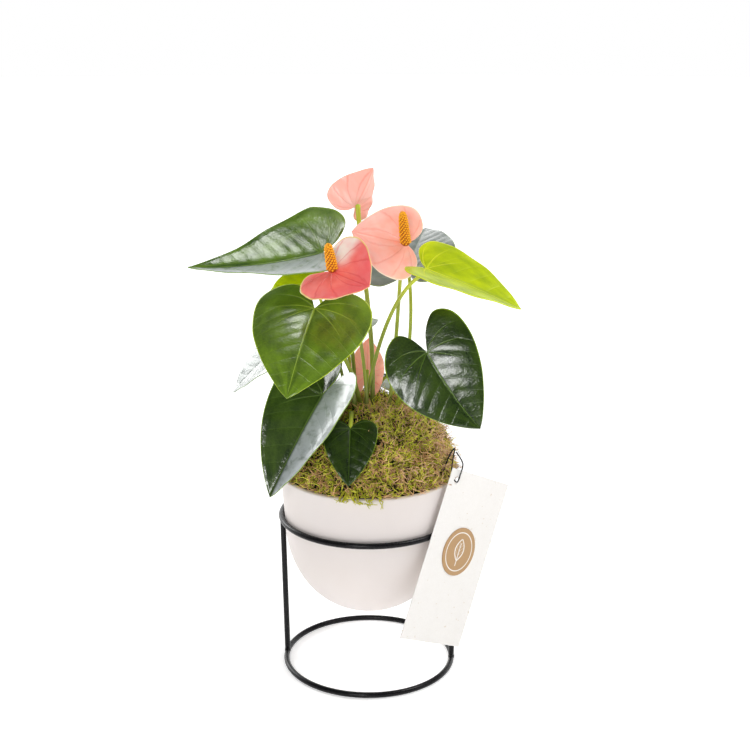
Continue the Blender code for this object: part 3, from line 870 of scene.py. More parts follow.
@dataclass
class Growth:
    """A Geometry Nodes tree under construction, with a geometry input and named inputs for its sizes."""

    name: str
    kinds: dict[str, str]
    tree: bpy.types.NodeTree = field(init=False)
    keys: dict[str, str] = field(init=False)
    bench: Bench = field(init=False)
    inputs: bpy.types.NodeOutputs = field(init=False)

    def __post_init__(self) -> None:
        """Make the tree and its sockets."""
        self.tree = bpy.data.node_groups.new(self.name, "GeometryNodeTree")
        face = self.tree.interface
        face.new_socket("Geometry", in_out="INPUT", socket_type="NodeSocketGeometry")
        self.keys = {
            name: face.new_socket(name, in_out="INPUT", socket_type="NodeSocket" + kind).identifier
            for name, kind in self.kinds.items()
        }
        face.new_socket("Geometry", in_out="OUTPUT", socket_type="NodeSocketGeometry")
        self.bench = Bench(self.tree)
        self.inputs = self.bench.node("NodeGroupInput").outputs

    def amount(self, name: str) -> Signal:
        """One of the number inputs."""
        return Signal(self.bench, self.inputs[name])

    def chance(self, low: float, high: float, seed: Signal) -> Signal:
        """A random number for each point.

        Args:
            low: Least value.
            high: Greatest value.
            seed: Seed of the draw.

        Returns:
            The number.
        """
        values = {2: low, 3: high, "Seed": seed}
        made = self.bench.node("FunctionNodeRandomValue", {"data_type": "FLOAT"}, values)
        return Signal(self.bench, made.outputs[1])

    def shift(self, shape: Socket, place: str, vector: Socket) -> Socket:
        """Set or offset the position of each point."""
        values = {"Geometry": shape, place: vector}
        return self.bench.node("GeometryNodeSetPosition", None, values).outputs[0]

    def mark(self, shape: Socket, domain: str, name: str, value: Number) -> Socket:
        """Store a number attribute on a geometry.

        Args:
            shape: The geometry.
            domain: Domain of the attribute.
            name: Its name.
            value: Its value.

        Returns:
            The geometry with the attribute.
        """
        settings = {"data_type": "FLOAT", "domain": domain}
        values = {"Geometry": shape, "Name": name, "Value": value}
        return self.bench.node("GeometryNodeStoreNamedAttribute", settings, values).outputs[0]

    def end(self, shape: Socket) -> None:
        """Make the instances real, give them the finish and lead them out.

        Args:
            shape: The grown geometry.
        """
        smooth = self.bench.node("GeometryNodeSetShadeSmooth", None, {0: shape})
        real = self.bench.node("GeometryNodeRealizeInstances", None, {0: smooth.outputs[0]})
        values = {"Geometry": real.outputs[0], "Material": self.inputs["Finish"]}
        painted = self.bench.node("GeometryNodeSetMaterial", None, values)
        self.bench.node("NodeGroupOutput", None, {0: painted.outputs[0]})

    def run(self, piece: bpy.types.Object, **sizes: object) -> None:
        """Run the tree on a piece and bake the result.

        Args:
            piece: The piece that it grows on.
            **sizes: Value of each named input, with _ for a space.
        """
        modifier = piece.modifiers.new(self.name, "NODES")
        modifier.node_group = self.tree
        for name, value in sizes.items():
            modifier[self.keys[name.replace("_", " ")]] = value
        bake(piece)


def smooth_curve(knots: np.ndarray, where: np.ndarray) -> np.ndarray:
    """Points of a smooth curve through the knots.

    Args:
        knots: Points that the curve goes through.
        where: Places along it, from 0 to 1.

    Returns:
        One point for each place.
    """
    spans = len(knots) - 1
    span = np.clip((where * spans).astype(int), 0, spans - 1)
    t = (where * spans - span)[..., None]
    before = knots[np.maximum(span - 1, 0)]
    here = knots[span]
    there = knots[span + 1]
    after = knots[np.minimum(span + 2, spans)]
    return 0.5 * (
        2 * here
        + (there - before) * t
        + (2 * before - 5 * here + 4 * there - after) * t * t
        + (3 * here - before - 3 * there + after) * t ** 3
    )


def ease(value: np.ndarray, low: float, high: float) -> np.ndarray:
    """Smooth step from 0 at low to 1 at high, for arrays."""
    share = np.clip((value - low) / (high - low), 0.0, 1.0)
    return share * share * (3.0 - 2.0 * share)


def unit(vectors: np.ndarray) -> np.ndarray:
    """Vectors of length 1."""
    return vectors / np.maximum(np.linalg.norm(vectors, axis=-1, keepdims=True), 1e-12)


def mesh_from(
    name: str, points: np.ndarray, faces: list, vectors: dict | None = None, numbers: dict | None = None
) -> Mesh:
    """Make a closed smooth mesh and merge its doubles.

    Args:
        name: Name of the mesh.
        points: Its vertices.
        faces: Its faces as lists of vertex numbers.
        vectors: Vector attributes, name to one value a vertex.
        numbers: Number attributes, name to one value a vertex.

    Returns:
        The mesh, its faces turned outwards.
    """
    work = bmesh.new()
    vector_layers = {key: work.verts.layers.float_vector.new(key) for key in (vectors or {})}
    number_layers = {key: work.verts.layers.float.new(key) for key in (numbers or {})}
    corners = [work.verts.new(point) for point in points]
    for key, layer in vector_layers.items():
        for corner, value in zip(corners, vectors[key]):
            corner[layer] = value
    for key, layer in number_layers.items():
        for corner, value in zip(corners, numbers[key]):
            corner[layer] = value
    for face in faces:
        work.faces.new([corners[index] for index in face])
    bmesh.ops.remove_doubles(work, verts=work.verts, dist=0.000002)
    bmesh.ops.dissolve_degenerate(work, edges=work.edges, dist=0.0000005)
    bmesh.ops.recalc_face_normals(work, faces=work.faces)
    return mesh_of(name, work)


def grid_faces(rows: int, columns: int, wrap: bool, start: int = 0) -> list:
    """Faces of a grid of vertices numbered row by row.

    Args:
        rows: Rows of vertices.
        columns: Vertices in a row.
        wrap: Whether the last column joins the first.
        start: Number of the first vertex.

    Returns:
        Lists of four vertex numbers.
    """
    faces = []
    for row in range(rows - 1):
        for column in range(columns if wrap else columns - 1):
            after = (column + 1) % columns
            first, second = start + row * columns, start + (row + 1) * columns
            faces.append([first + column, first + after, second + after, second + column])
    return faces


def closing_faces(rows: int, columns: int) -> list:
    """Faces that join the last row of a wrapped grid to its first.

    Args:
        rows: Rows of the grid.
        columns: Vertices in a row.

    Returns:
        Lists of four vertex numbers.
    """
    last = (rows - 1) * columns
    return [
        [last + column, last + (column + 1) % columns, (column + 1) % columns, column]
        for column in range(columns)
    ]


@dataclass
class Tube:
    """A round tube with closed, rounded ends along a line of points."""

    points: np.ndarray
    radii: np.ndarray
    sides: int = 14
    flatten: float = 1.0

    def frames(self) -> tuple[np.ndarray, np.ndarray]:
        """Two directions across the tube at each point, carried along without a twist.

        Returns:
            The two directions.
        """
        tangents = unit(np.gradient(self.points, axis=0))
        first = np.zeros_like(self.points)
        start = np.cross(tangents[0], (0.13, 0.97, 0.21))
        first[0] = unit(start)
        for index in range(1, len(self.points)):
            carried = first[index - 1] - tangents[index] * np.dot(first[index - 1], tangents[index])
            first[index] = unit(carried)
        return first, np.cross(tangents, first)

    def mesh(self, name: str) -> Mesh:
        """Build the tube, with stem_place giving the place along and around it.

        Args:
            name: Name of the mesh.

        Returns:
            The closed mesh.
        """
        first, second = self.frames()
        around = np.arange(self.sides) / self.sides
        turn = 2 * np.pi * around
        ring = (
            first[:, None] * np.cos(turn)[None, :, None]
            + second[:, None] * np.sin(turn)[None, :, None] * self.flatten
        )
        body = self.points[:, None] + ring * self.radii[:, None, None]
        count = len(self.points)
        points = body.reshape(-1, 3)
        along = np.linspace(0.0, 1.0, count)
        place = np.stack(
            [np.repeat(along, self.sides), np.tile(around, count), np.zeros(count * self.sides)], axis=1
        )
        faces = grid_faces(count, self.sides, True)
        tangents = unit(np.gradient(self.points, axis=0))
        ends = np.array([
            self.points[0] - tangents[0] * self.radii[0] * 0.45,
            self.points[-1] + tangents[-1] * self.radii[-1] * 0.45,
        ])
        points = np.vstack([points, ends])
        place = np.vstack([place, [[0, 0, 0], [1, 0, 0]]])
        last = (count - 1) * self.sides
        for side in range(self.sides):
            after = (side + 1) % self.sides
            faces.append([count * self.sides, after, side])
            faces.append([count * self.sides + 1, last + side, last + after])
        return mesh_from(name, points, faces, {"stem_place": place})


def turned(name: str, profile: np.ndarray, steps: int, axis: Vector, closed: bool = False) -> Mesh:
    """Turn a profile about an upright axis.

    Args:
        name: Name of the mesh.
        profile: Radius and height of each point.
        steps: Steps round the axis.
        axis: A point on the axis.
        closed: Whether the last point joins the first.

    Returns:
        The closed mesh.
    """
    turn = 2 * np.pi * np.arange(steps) / steps
    radius = profile[:, 0][:, None]
    x = radius * np.cos(turn) + axis.x
    y = radius * np.sin(turn) + axis.y
    z = np.repeat(profile[:, 1][:, None], steps, axis=1)
    points = np.stack([x, y, z], axis=-1).reshape(-1, 3)
    rows = len(profile)
    faces = grid_faces(rows, steps, True) + (closing_faces(rows, steps) if closed else [])
    return mesh_from(name, points, faces)


def on_crown(foot: tuple[float, float]) -> np.ndarray:
    """Point of the domed crown above a place in millimetres from its axis.

    Args:
        foot: Place across the crown.

    Returns:
        The point in metres.
    """
    point = PLACE.from_crown((*foot, 0.0))
    point[2] -= CROWN_DOME * (math.hypot(*foot) * MM / CROWN_RADIUS) ** 2
    return point


# Blades -----------------------------------------------------------------------------------------


@dataclass(frozen=True)
class HeartShape:
    """A heart-shaped blade; points are millimetres from the top of the crown, angles degrees."""

    joint: Triple
    tip: Triple
    face: Triple
    width: float
    lobe: float
    fold: float
    droop: float
    curl: float
    slender: float = 0.0
    sweep: float = 0.0

    def outline(self) -> np.ndarray:
        """Half outline from the notch, round the lobe, to the tip.

        Returns:
            Places across and along, over the length.
        """
        half, back, thin = self.width, self.lobe, self.slender
        return np.array([
            (0.0, 0.0),
            (0.17 * half, -0.60 * back),
            (0.45 * half, -0.98 * back),
            (0.76 * half, -0.80 * back),
            (0.96 * half, -0.30 * back),
            (1.0 * half, 0.14 - 0.08 * thin),
            ((0.86 - 0.08 * thin) * half, 0.42 - 0.06 * thin),
            ((0.56 - 0.14 * thin) * half, 0.69 - 0.04 * thin),
            ((0.22 - 0.08 * thin) * half, 0.90),
            (0.0, 1.0),
        ])

    def axes(self) -> tuple[np.ndarray, np.ndarray, np.ndarray, np.ndarray, float]:
        """Joint, directions along, up and across, and the length along the bent blade.

        Returns:
            The joint, the three directions and the length.
        """
        joint = PLACE.from_crown(self.joint)
        chord = PLACE.from_crown(self.tip) - joint
        span = float(np.linalg.norm(chord))
        along = chord / span
        face = np.array(self.face, float)
        up = unit(face - face.dot(along) * along)
        across = np.cross(along, up)
        half_turn = math.radians(self.droop) / 2
        length = span * half_turn / math.sin(half_turn)
        along = unit(along * math.cos(half_turn) + up * math.sin(half_turn))
        return joint, along, np.cross(across, along), across, length

    def place(self, x: np.ndarray, y: np.ndarray) -> np.ndarray:
        """Carry points of the flat heart to their place in the frame.

        Args:
            x: Places across, over the length.
            y: Places along, over the length.

        Returns:
            One point in metres for each pair.
        """
        joint, along, up, across, length = self.axes()
        fold = math.radians(self.fold)
        droop = math.radians(self.droop)
        x = x + self.sweep * (y * y - y)
        crease = np.hypot(x, 0.04) - 0.04
        side = x * math.cos(fold)
        lift = crease * math.sin(fold) - math.radians(self.curl) * x * x
        turn = droop * y
        forward = np.sin(turn) / droop + lift * np.sin(turn)
        rise = lift * np.cos(turn) - (1.0 - np.cos(turn)) / droop
        offset = across * side[..., None] + along * forward[..., None] + up * rise[..., None]
        return joint + offset * length


@dataclass(frozen=True)
class BladeMesh:
    """Meshing of a blade: how fine it is, how thick, and how much its surface swells."""

    shape: HeartShape
    thickness: float
    rows: int = 72
    columns: int = 30
    swell: float = 0.22 * MM
    side_veins: float = 7.0
    wave: float = 0.35 * MM

    def relief(self, x: np.ndarray, y: np.ndarray, out: np.ndarray) -> np.ndarray:
        """Height of the quilted surface: sunk along the veins, swollen between them.

        Args:
            x: Places across.
            y: Places along.
            out: Share of the way to the rim.

        Returns:
            One height for each place.
        """
        half = np.abs(x)
        midrib = np.exp(-((half / 0.022) ** 2)) * ease(y, 0.0, 0.06) * ease(-y, -1.0, -0.85)
        sweep = (y - half * 0.42 - half * half * 0.55) * self.side_veins
        apart = np.abs(sweep - np.floor(sweep) - 0.5) * 2.0
        field = ease(half, 0.01, 0.10) * (1.0 - ease(out, 0.80, 1.0))
        swell = (0.5 - apart ** 2) * field * ease(y, -0.15, 0.12)
        wave = np.sin(y * 17.0 + np.sign(x) * 1.3) * out ** 4 * (1.0 - ease(y, 0.8, 1.0))
        return swell * self.swell - midrib * self.swell * 1.1 + wave * self.wave

    def mesh(self, name: str) -> Mesh:
        """Build the closed blade, with its flat place and its side as attributes.

        Args:
            name: Name of the mesh.

        Returns:
            The closed mesh.
        """
        outline = self.shape.outline()
        row = np.linspace(0.0, 1.0, self.rows + 1)
        across = np.linspace(-1.0, 1.0, 2 * self.columns + 1)
        across = np.sign(across) * (1.0 - (1.0 - np.abs(across)) ** 1.15)
        margin = smooth_curve(outline, 0.06 + 0.94 * row)
        out = np.abs(across)[None, :] * np.ones((self.rows + 1, 1))
        x = margin[:, 0][:, None] * across[None, :]
        middle = (row ** 1.7)[:, None]
        y = middle + (margin[:, 1][:, None] - middle) * out
        step = 0.004
        side = self.shape.place(x + step, y) - self.shape.place(x - step, y)
        ahead = self.shape.place(x, y + step) - self.shape.place(x, y - step)
        normal = unit(np.cross(side, ahead))
        up = self.shape.axes()[2]
        normal *= np.sign((normal @ up))[..., None]
        centre = self.shape.place(x, y) + normal * self.relief(x, y, out)[..., None]
        half = self.thickness / 2 * (1.0 - 0.45 * ease(out, 0.82, 1.0))[..., None]
        sides = (centre + normal * half, centre - normal * half)
        points = np.concatenate([sheet.reshape(-1, 3) for sheet in sides])
        rows, columns = self.rows + 1, 2 * self.columns + 1
        total = rows * columns
        faces = grid_faces(rows, columns, False)
        faces += [face[::-1] for face in grid_faces(rows, columns, False, total)]
        edge = list(range(columns))
        edge += [columns * (index + 1) - 1 for index in range(1, rows)]
        back = [columns * index for index in range(rows - 1, 0, -1)]
        loop = edge + back
        for first, second in zip(loop, loop[1:] + loop[:1]):
            if first // columns == rows - 1 and second // columns == rows - 1:
                continue
            faces.append([first, first + total, second + total, second])
        flat = np.stack([x, y, out], axis=-1).reshape(-1, 3)
        place = np.concatenate([flat, flat])
        tops = np.concatenate([np.ones(total), np.zeros(total)])
        return mesh_from(name, points, faces, {"blade_place": place}, {"blade_side": tops})


@dataclass(frozen=True)
class Stalk:
    """A stalk from the crown to its blade: foot and handles in millimetres, and its diameter."""

    foot: tuple[float, float]
    leave: Triple
    arrive: Triple
    diameter: float

    def mesh(self, name: str, shape: HeartShape, thickness: float) -> Mesh:
        """Build the stalk, wider at its foot and with a knee just under the blade.

        Args:
            name: Name of the mesh.
            shape: The blade that it carries.
            thickness: Thickness of that blade.

        Returns:
            The closed mesh.
        """
        joint, along, up, _, _ = shape.axes()
        diameter = self.diameter * MM
        foot = on_crown(self.foot)
        foot[2] -= STALK_SINK
        lean = float(unit(np.array(self.arrive, float)) @ up)
        slant = math.sqrt(max(0.0, 1.0 - lean * lean))
        end = joint + along * diameter * 0.6 - up * (thickness / 2 + diameter * 0.58 * slant - 0.05 * MM)
        first = foot + np.array(self.leave) * MM
        second = end + np.array(self.arrive) * MM
        t = np.linspace(0.0, 1.0, 61)[:, None]
        u = 1.0 - t
        points = u ** 3 * foot + 3 * u * u * t * first + 3 * u * t * t * second + t ** 3 * end
        t = t[:, 0]
        girth = 1.0 + 0.32 * np.exp(-t / 0.05) + 0.08 * np.exp(-(((1.0 - t) / 0.045) ** 2))
        return Tube(points, diameter / 2 * girth).mesh(name)


@dataclass(frozen=True)
class Leaf:
    """One leaf: its blade, its petiole and their finish."""

    name: str
    shape: HeartShape
    stalk: Stalk
    finish: Blade
    slot: str = "leaf"

    def build(self, stem: Material, blades: dict) -> None:
        """Build the blade and the petiole.

        Args:
            stem: Material of the petiole.
            blades: Materials of the blades by finish.
        """
        side_veins = self.finish.value.side_veins
        sheet = BladeMesh(self.shape, BLADE_THICKNESS, side_veins=side_veins)
        node = "leaf_" + self.name
        place_piece(node + "_blade", sheet.mesh(node), blades[self.finish], self.slot, node)
        node = "petiole_" + self.name
        stalk = self.stalk.mesh(node, self.shape, BLADE_THICKNESS)
        place_piece(node + "_stalk", stalk, stem, "stem", node)


@dataclass(frozen=True)
class Flower:
    """One flower: its spathe, its spadix and its peduncle."""

    name: str
    shape: HeartShape
    stalk: Stalk
    axis: Triple
    length: float
    finish: Petal
    slot: str

    def build(self, stem: Material, petals: dict, spike: "SpadixMaker") -> None:
        """Build the three pieces.

        Args:
            stem: Material of the peduncle.
            petals: Materials of the spathes by finish.
            spike: Maker of the spadix.
        """
        sheet = BladeMesh(self.shape, SPATHE_THICKNESS, side_veins=5.0, wave=0.5 * MM)
        node = "spathe_" + self.name
        place_piece(node + "_sheet", sheet.mesh(node), petals[self.finish], self.slot, node)
        node = "peduncle_" + self.name
        stalk = self.stalk.mesh(node, self.shape, SPATHE_THICKNESS)
        place_piece(node + "_stalk", stalk, stem, "stem", node)
        spike.build(self)


@dataclass
class SpadixMaker:
    """Spadix: a tapering rod set with florets in a spiral."""

    radius: float = 3.25 * MM
    floret: float = 0.74 * MM
    florets: int = 120
    usual_length: float = 17.0
    taper: float = 0.34
    material: Material = field(default_factory=lambda: SpadixFinish().material())

    def girth(self, share: np.ndarray) -> np.ndarray:
        """Radius of the rod at a share of its height."""
        return self.radius * (1.0 - self.taper * share ** 1.6) * np.sqrt(1.0 - share ** 14)

    def tree(self) -> Growth:
        """Build the tree that sets florets on the rod in a spiral.

        Returns:
            The tree.
        """
        kinds = {"Florets": "Int", "Height": "Float", "Radius": "Float", "Taper": "Float"}
        made = Growth("spadix_florets", kinds | {"Floret Size": "Float", "Finish": "Material"})
        bench = made.bench
        dots = bench.node("GeometryNodePoints", None, {"Count": made.inputs["Florets"]})
        index = Signal(bench, bench.node("GeometryNodeInputIndex").outputs[0])
        share = (index + 0.5) / made.amount("Florets")
        turn = index * GOLDEN_ANGLE
        crown = (1.0 - share ** 14.0) ** 0.5
        girth = made.amount("Radius") * (1.0 - made.amount("Taper") * share ** 1.6) * crown
        values = {0: girth * turn.work("COSINE"), 1: girth * turn.work("SINE")}
        spot = bench.node("ShaderNodeCombineXYZ", None, values | {2: share * made.amount("Height")})
        placed = made.shift(dots.outputs[0], "Position", spot.outputs[0])
        values = {"Radius": made.inputs["Floret Size"], "Subdivisions": 2}
        bead = bench.node("GeometryNodeMeshIcoSphere", None, values)
        values = {"Points": placed, "Instance": bead.outputs[0]}
        set_out = bench.node("GeometryNodeInstanceOnPoints", None, values)
        joined = bench.node("GeometryNodeJoinGeometry")
        for part in (made.mark(set_out.outputs[0], "INSTANCE", "floret", 1.0), made.inputs["Geometry"]):
            made.tree.links.new(part, joined.inputs[0])
        made.end(joined.outputs[0])
        return made

    def build(self, flower: Flower) -> None:
        """Build one spadix on its spathe.

        Args:
            flower: The flower that carries it.
        """
        long = flower.length * MM + 1.6 * MM
        share = np.linspace(0.0, 1.0, 19) ** 0.8
        rod = np.stack([self.girth(share), share * long], axis=1)
        rod = np.vstack([[0.0, -self.radius * 0.8], [self.radius * 0.7, -self.radius * 0.5], rod])
        node = "spadix_" + flower.name
        piece = add_piece(node + "_spike", turned(node, rod, 20, Vector((0, 0, 0))), self.material)
        self.tree().run(
            piece,
            Florets=int(self.florets * flower.length / self.usual_length),
            Height=long,
            Radius=self.radius,
            Taper=self.taper,
            Floret_Size=self.floret,
            Finish=self.material,
        )
        joint, along, up, _, _ = flower.shape.axes()
        seat = joint + up * (self.radius + SPATHE_THICKNESS / 2 + 0.3 * MM) + along * self.radius * 0.5
        axis = Vector(flower.axis).normalized()
        spin = Vector((0.0, 0.0, 1.0)).rotation_difference(axis).to_matrix().to_4x4()
        piece.data.transform(Matrix.Translation(Vector(seat)) @ spin)
        settle(piece, "spadix", node)


@dataclass(frozen=True)
class Sheath:
    """A pointed papery sheath between the stalks."""

    name: str
    foot: tuple[float, float]
    rise: Triple
    radius: float

    def build(self, stem: Material) -> None:
        """Build the sheath as a flattened, ridged tube that narrows to a point.

        Args:
            stem: Material of the sheath.
        """
        foot = on_crown(self.foot)
        t = np.linspace(0.0, 1.0, 40)
        lean = np.array(self.rise) * MM
        points = foot + lean * t[:, None] + np.array((0.0, 0.0, 1.0)) * (t * 1.5 * MM)[:, None]
        girth = np.interp(t, (0.0, 0.25, 0.5, 0.75, 0.95, 1.0), (0.95, 1.05, 0.92, 0.62, 0.22, 0.05))
        mesh = Tube(points, self.radius * MM * girth, 18, 0.8).mesh("sheath_" + self.name)
        place_piece("sheath_" + self.name + "_bract", mesh, stem, "sheath", "sheath_" + self.name)


# Bowl, stand and what is in the bowl ------------------------------------------------------------


@dataclass
class Bowl:
    """The round-bottomed ceramic bowl."""

    rim_radius: float = 62.0 * MM
    seat_radius: float = 59.5 * MM
    foot_radius: float = 24.0 * MM
    wall: float = 4.0 * MM
    roundness: float = 2.15
    steps: int = 160

    def radius_at(self, height: float) -> float:
        """Outer radius at a height.

        Args:
            height: Height above the floor.

        Returns:
            The radius of the outside there.
        """
        if height >= PLACE.seat:
            share = (height - PLACE.seat) / (PLACE.rim - PLACE.seat)
            return self.seat_radius + (self.rim_radius - self.seat_radius) * share
        foot_share = (self.foot_radius / self.seat_radius) ** self.roundness
        depth = (PLACE.seat - PLACE.foot) / (1.0 - foot_share) ** (1.0 / self.roundness)
        below = (PLACE.seat - height) / depth
        return self.seat_radius * (1.0 - below ** self.roundness) ** (1.0 / self.roundness)

    def profile(self) -> np.ndarray:
        """Section of the bowl: up the inside, over the rounded lip, and down the outside.

        Returns:
            Radius and height of each point.
        """
        floor = PLACE.foot + self.wall
        points = [(0.0, floor)]
        for share in np.linspace(0.0, 1.0, 34) ** 1.6:
            height = floor + (PLACE.rim - self.wall / 2 - floor) * share
            points.append((self.radius_at(height) - self.wall, height))
        half = self.wall / 2
        centre = self.rim_radius - half
        for angle in np.linspace(math.pi * 0.94, 0.06 * math.pi, 13):
            lift = math.copysign(abs(math.sin(angle)) ** 0.75, math.sin(angle))
            points.append((centre + half * math.cos(angle), PLACE.rim - half * (1 - lift)))
        for share in np.linspace(1.0, 0.0, 60) ** 1.5:
            height = PLACE.foot + (PLACE.rim - self.wall / 2 - PLACE.foot) * share
            points.append((self.radius_at(height), height))
        points.append((self.foot_radius - 1.0 * MM, PLACE.foot))
        points.append((0.0, PLACE.foot + 0.6 * MM))
        return np.array(points)

    def build(self) -> None:
        """Build the bowl."""
        mesh = turned("ceramic_pot", self.profile(), self.steps, PLACE.axis)
        place_piece("ceramic_bowl", mesh, CeramicFinish().material(), "bowl", "ceramic_pot")


@dataclass
class Stand:
    """The wire stand: two rings, two legs and the welds where they meet."""

    wire: float = 4.0 * MM
    sides: int = 20
    steps: int = 180
    bead: Triple = (3.6 * MM, 2.25 * MM, 1.9 * MM)
    material: Material = field(
        default_factory=lambda: CoatFinish(
            "stand_powder_coat", (0.004, 0.004, 0.005), (0.012, 0.012, 0.013), 0.20
        ).material()
    )

    def ring(self, node: str) -> float:
        """Build one ring.

        Args:
            node: Packed ring that it stands for.

        Returns:
            Radius of the middle of its wire.
        """
        low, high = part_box(node)
        radius = (high.x - low.x) / 2 - self.wire / 2
        turn = 2 * np.pi * np.arange(self.sides) / self.sides
        height = (low.z + high.z) / 2
        section = np.stack(
            [radius + self.wire / 2 * np.cos(turn), height + self.wire / 2 * np.sin(turn)], axis=1
        )
        mesh = turned(node, section, self.steps, PLACE.axis, closed=True)
        place_piece(node + "_wire", mesh, self.material, "stand", node)
        return radius

    def weld(self, name: str, spot: Vector, along: Vector) -> None:
        """Build a small bead of weld that flows round a joint.

        Args:
            name: Name of the piece.
            spot: Middle of the bead.
            along: Direction of the ring there.
        """
        work = bmesh.new()
        bmesh.ops.create_icosphere(work, subdivisions=4, radius=1.0)
        spin = Vector((1.0, 0.0, 0.0)).rotation_difference(along).to_matrix()
        for vertex in work.verts:
            lump = 1.0 + 0.10 * noise.noise(vertex.co * 2.3 + spot * 90.0)
            size = Vector(self.bead) * lump
            vertex.co = spot + spin @ Vector([a * b for a, b in zip(vertex.co, size)])
        place_piece(name, mesh_of(name, work), self.material, "stand")

    def build(self) -> None:
        """Build the rings, the legs and the welds."""
        base = self.ring("stand_base_ring")
        top = self.ring("stand_top_ring")
        for name in ("left", "right"):
            low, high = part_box("stand_leg_" + name)
            middle = (low + high) / 2 - PLACE.axis
            out = Vector((middle.x, middle.y, 0.0)).normalized()
            foot = PLACE.axis + out * base + Vector((0, 0, self.wire * 0.7))
            head = PLACE.axis + out * top + Vector((0, 0, PLACE.seat - self.wire * 0.2))
            points = np.array([foot.lerp(head, share) for share in np.linspace(0.0, 1.0, 25)])
            mesh = Tube(points, np.full(25, self.wire / 2), self.sides).mesh("leg")
            node = "stand_leg_" + name
            place_piece(node + "_wire", mesh, self.material, "stand", node)
            level = Vector((-out.y, out.x, 0.0))
            self.weld("weld_foot_" + name, foot + Vector((0, 0, 0.4 * MM)), level)
            self.weld("weld_head_" + name, head - Vector((0, 0, self.wire * 0.6)), level)


@dataclass(frozen=True)
class Fibre:
    """One kind of moss fibre: how many, how long, how thick, how curly, and its finish."""

    name: str
    count: int
    length: float
    thickness: float
    curl: float
    seed: int
    finish: MossFinish


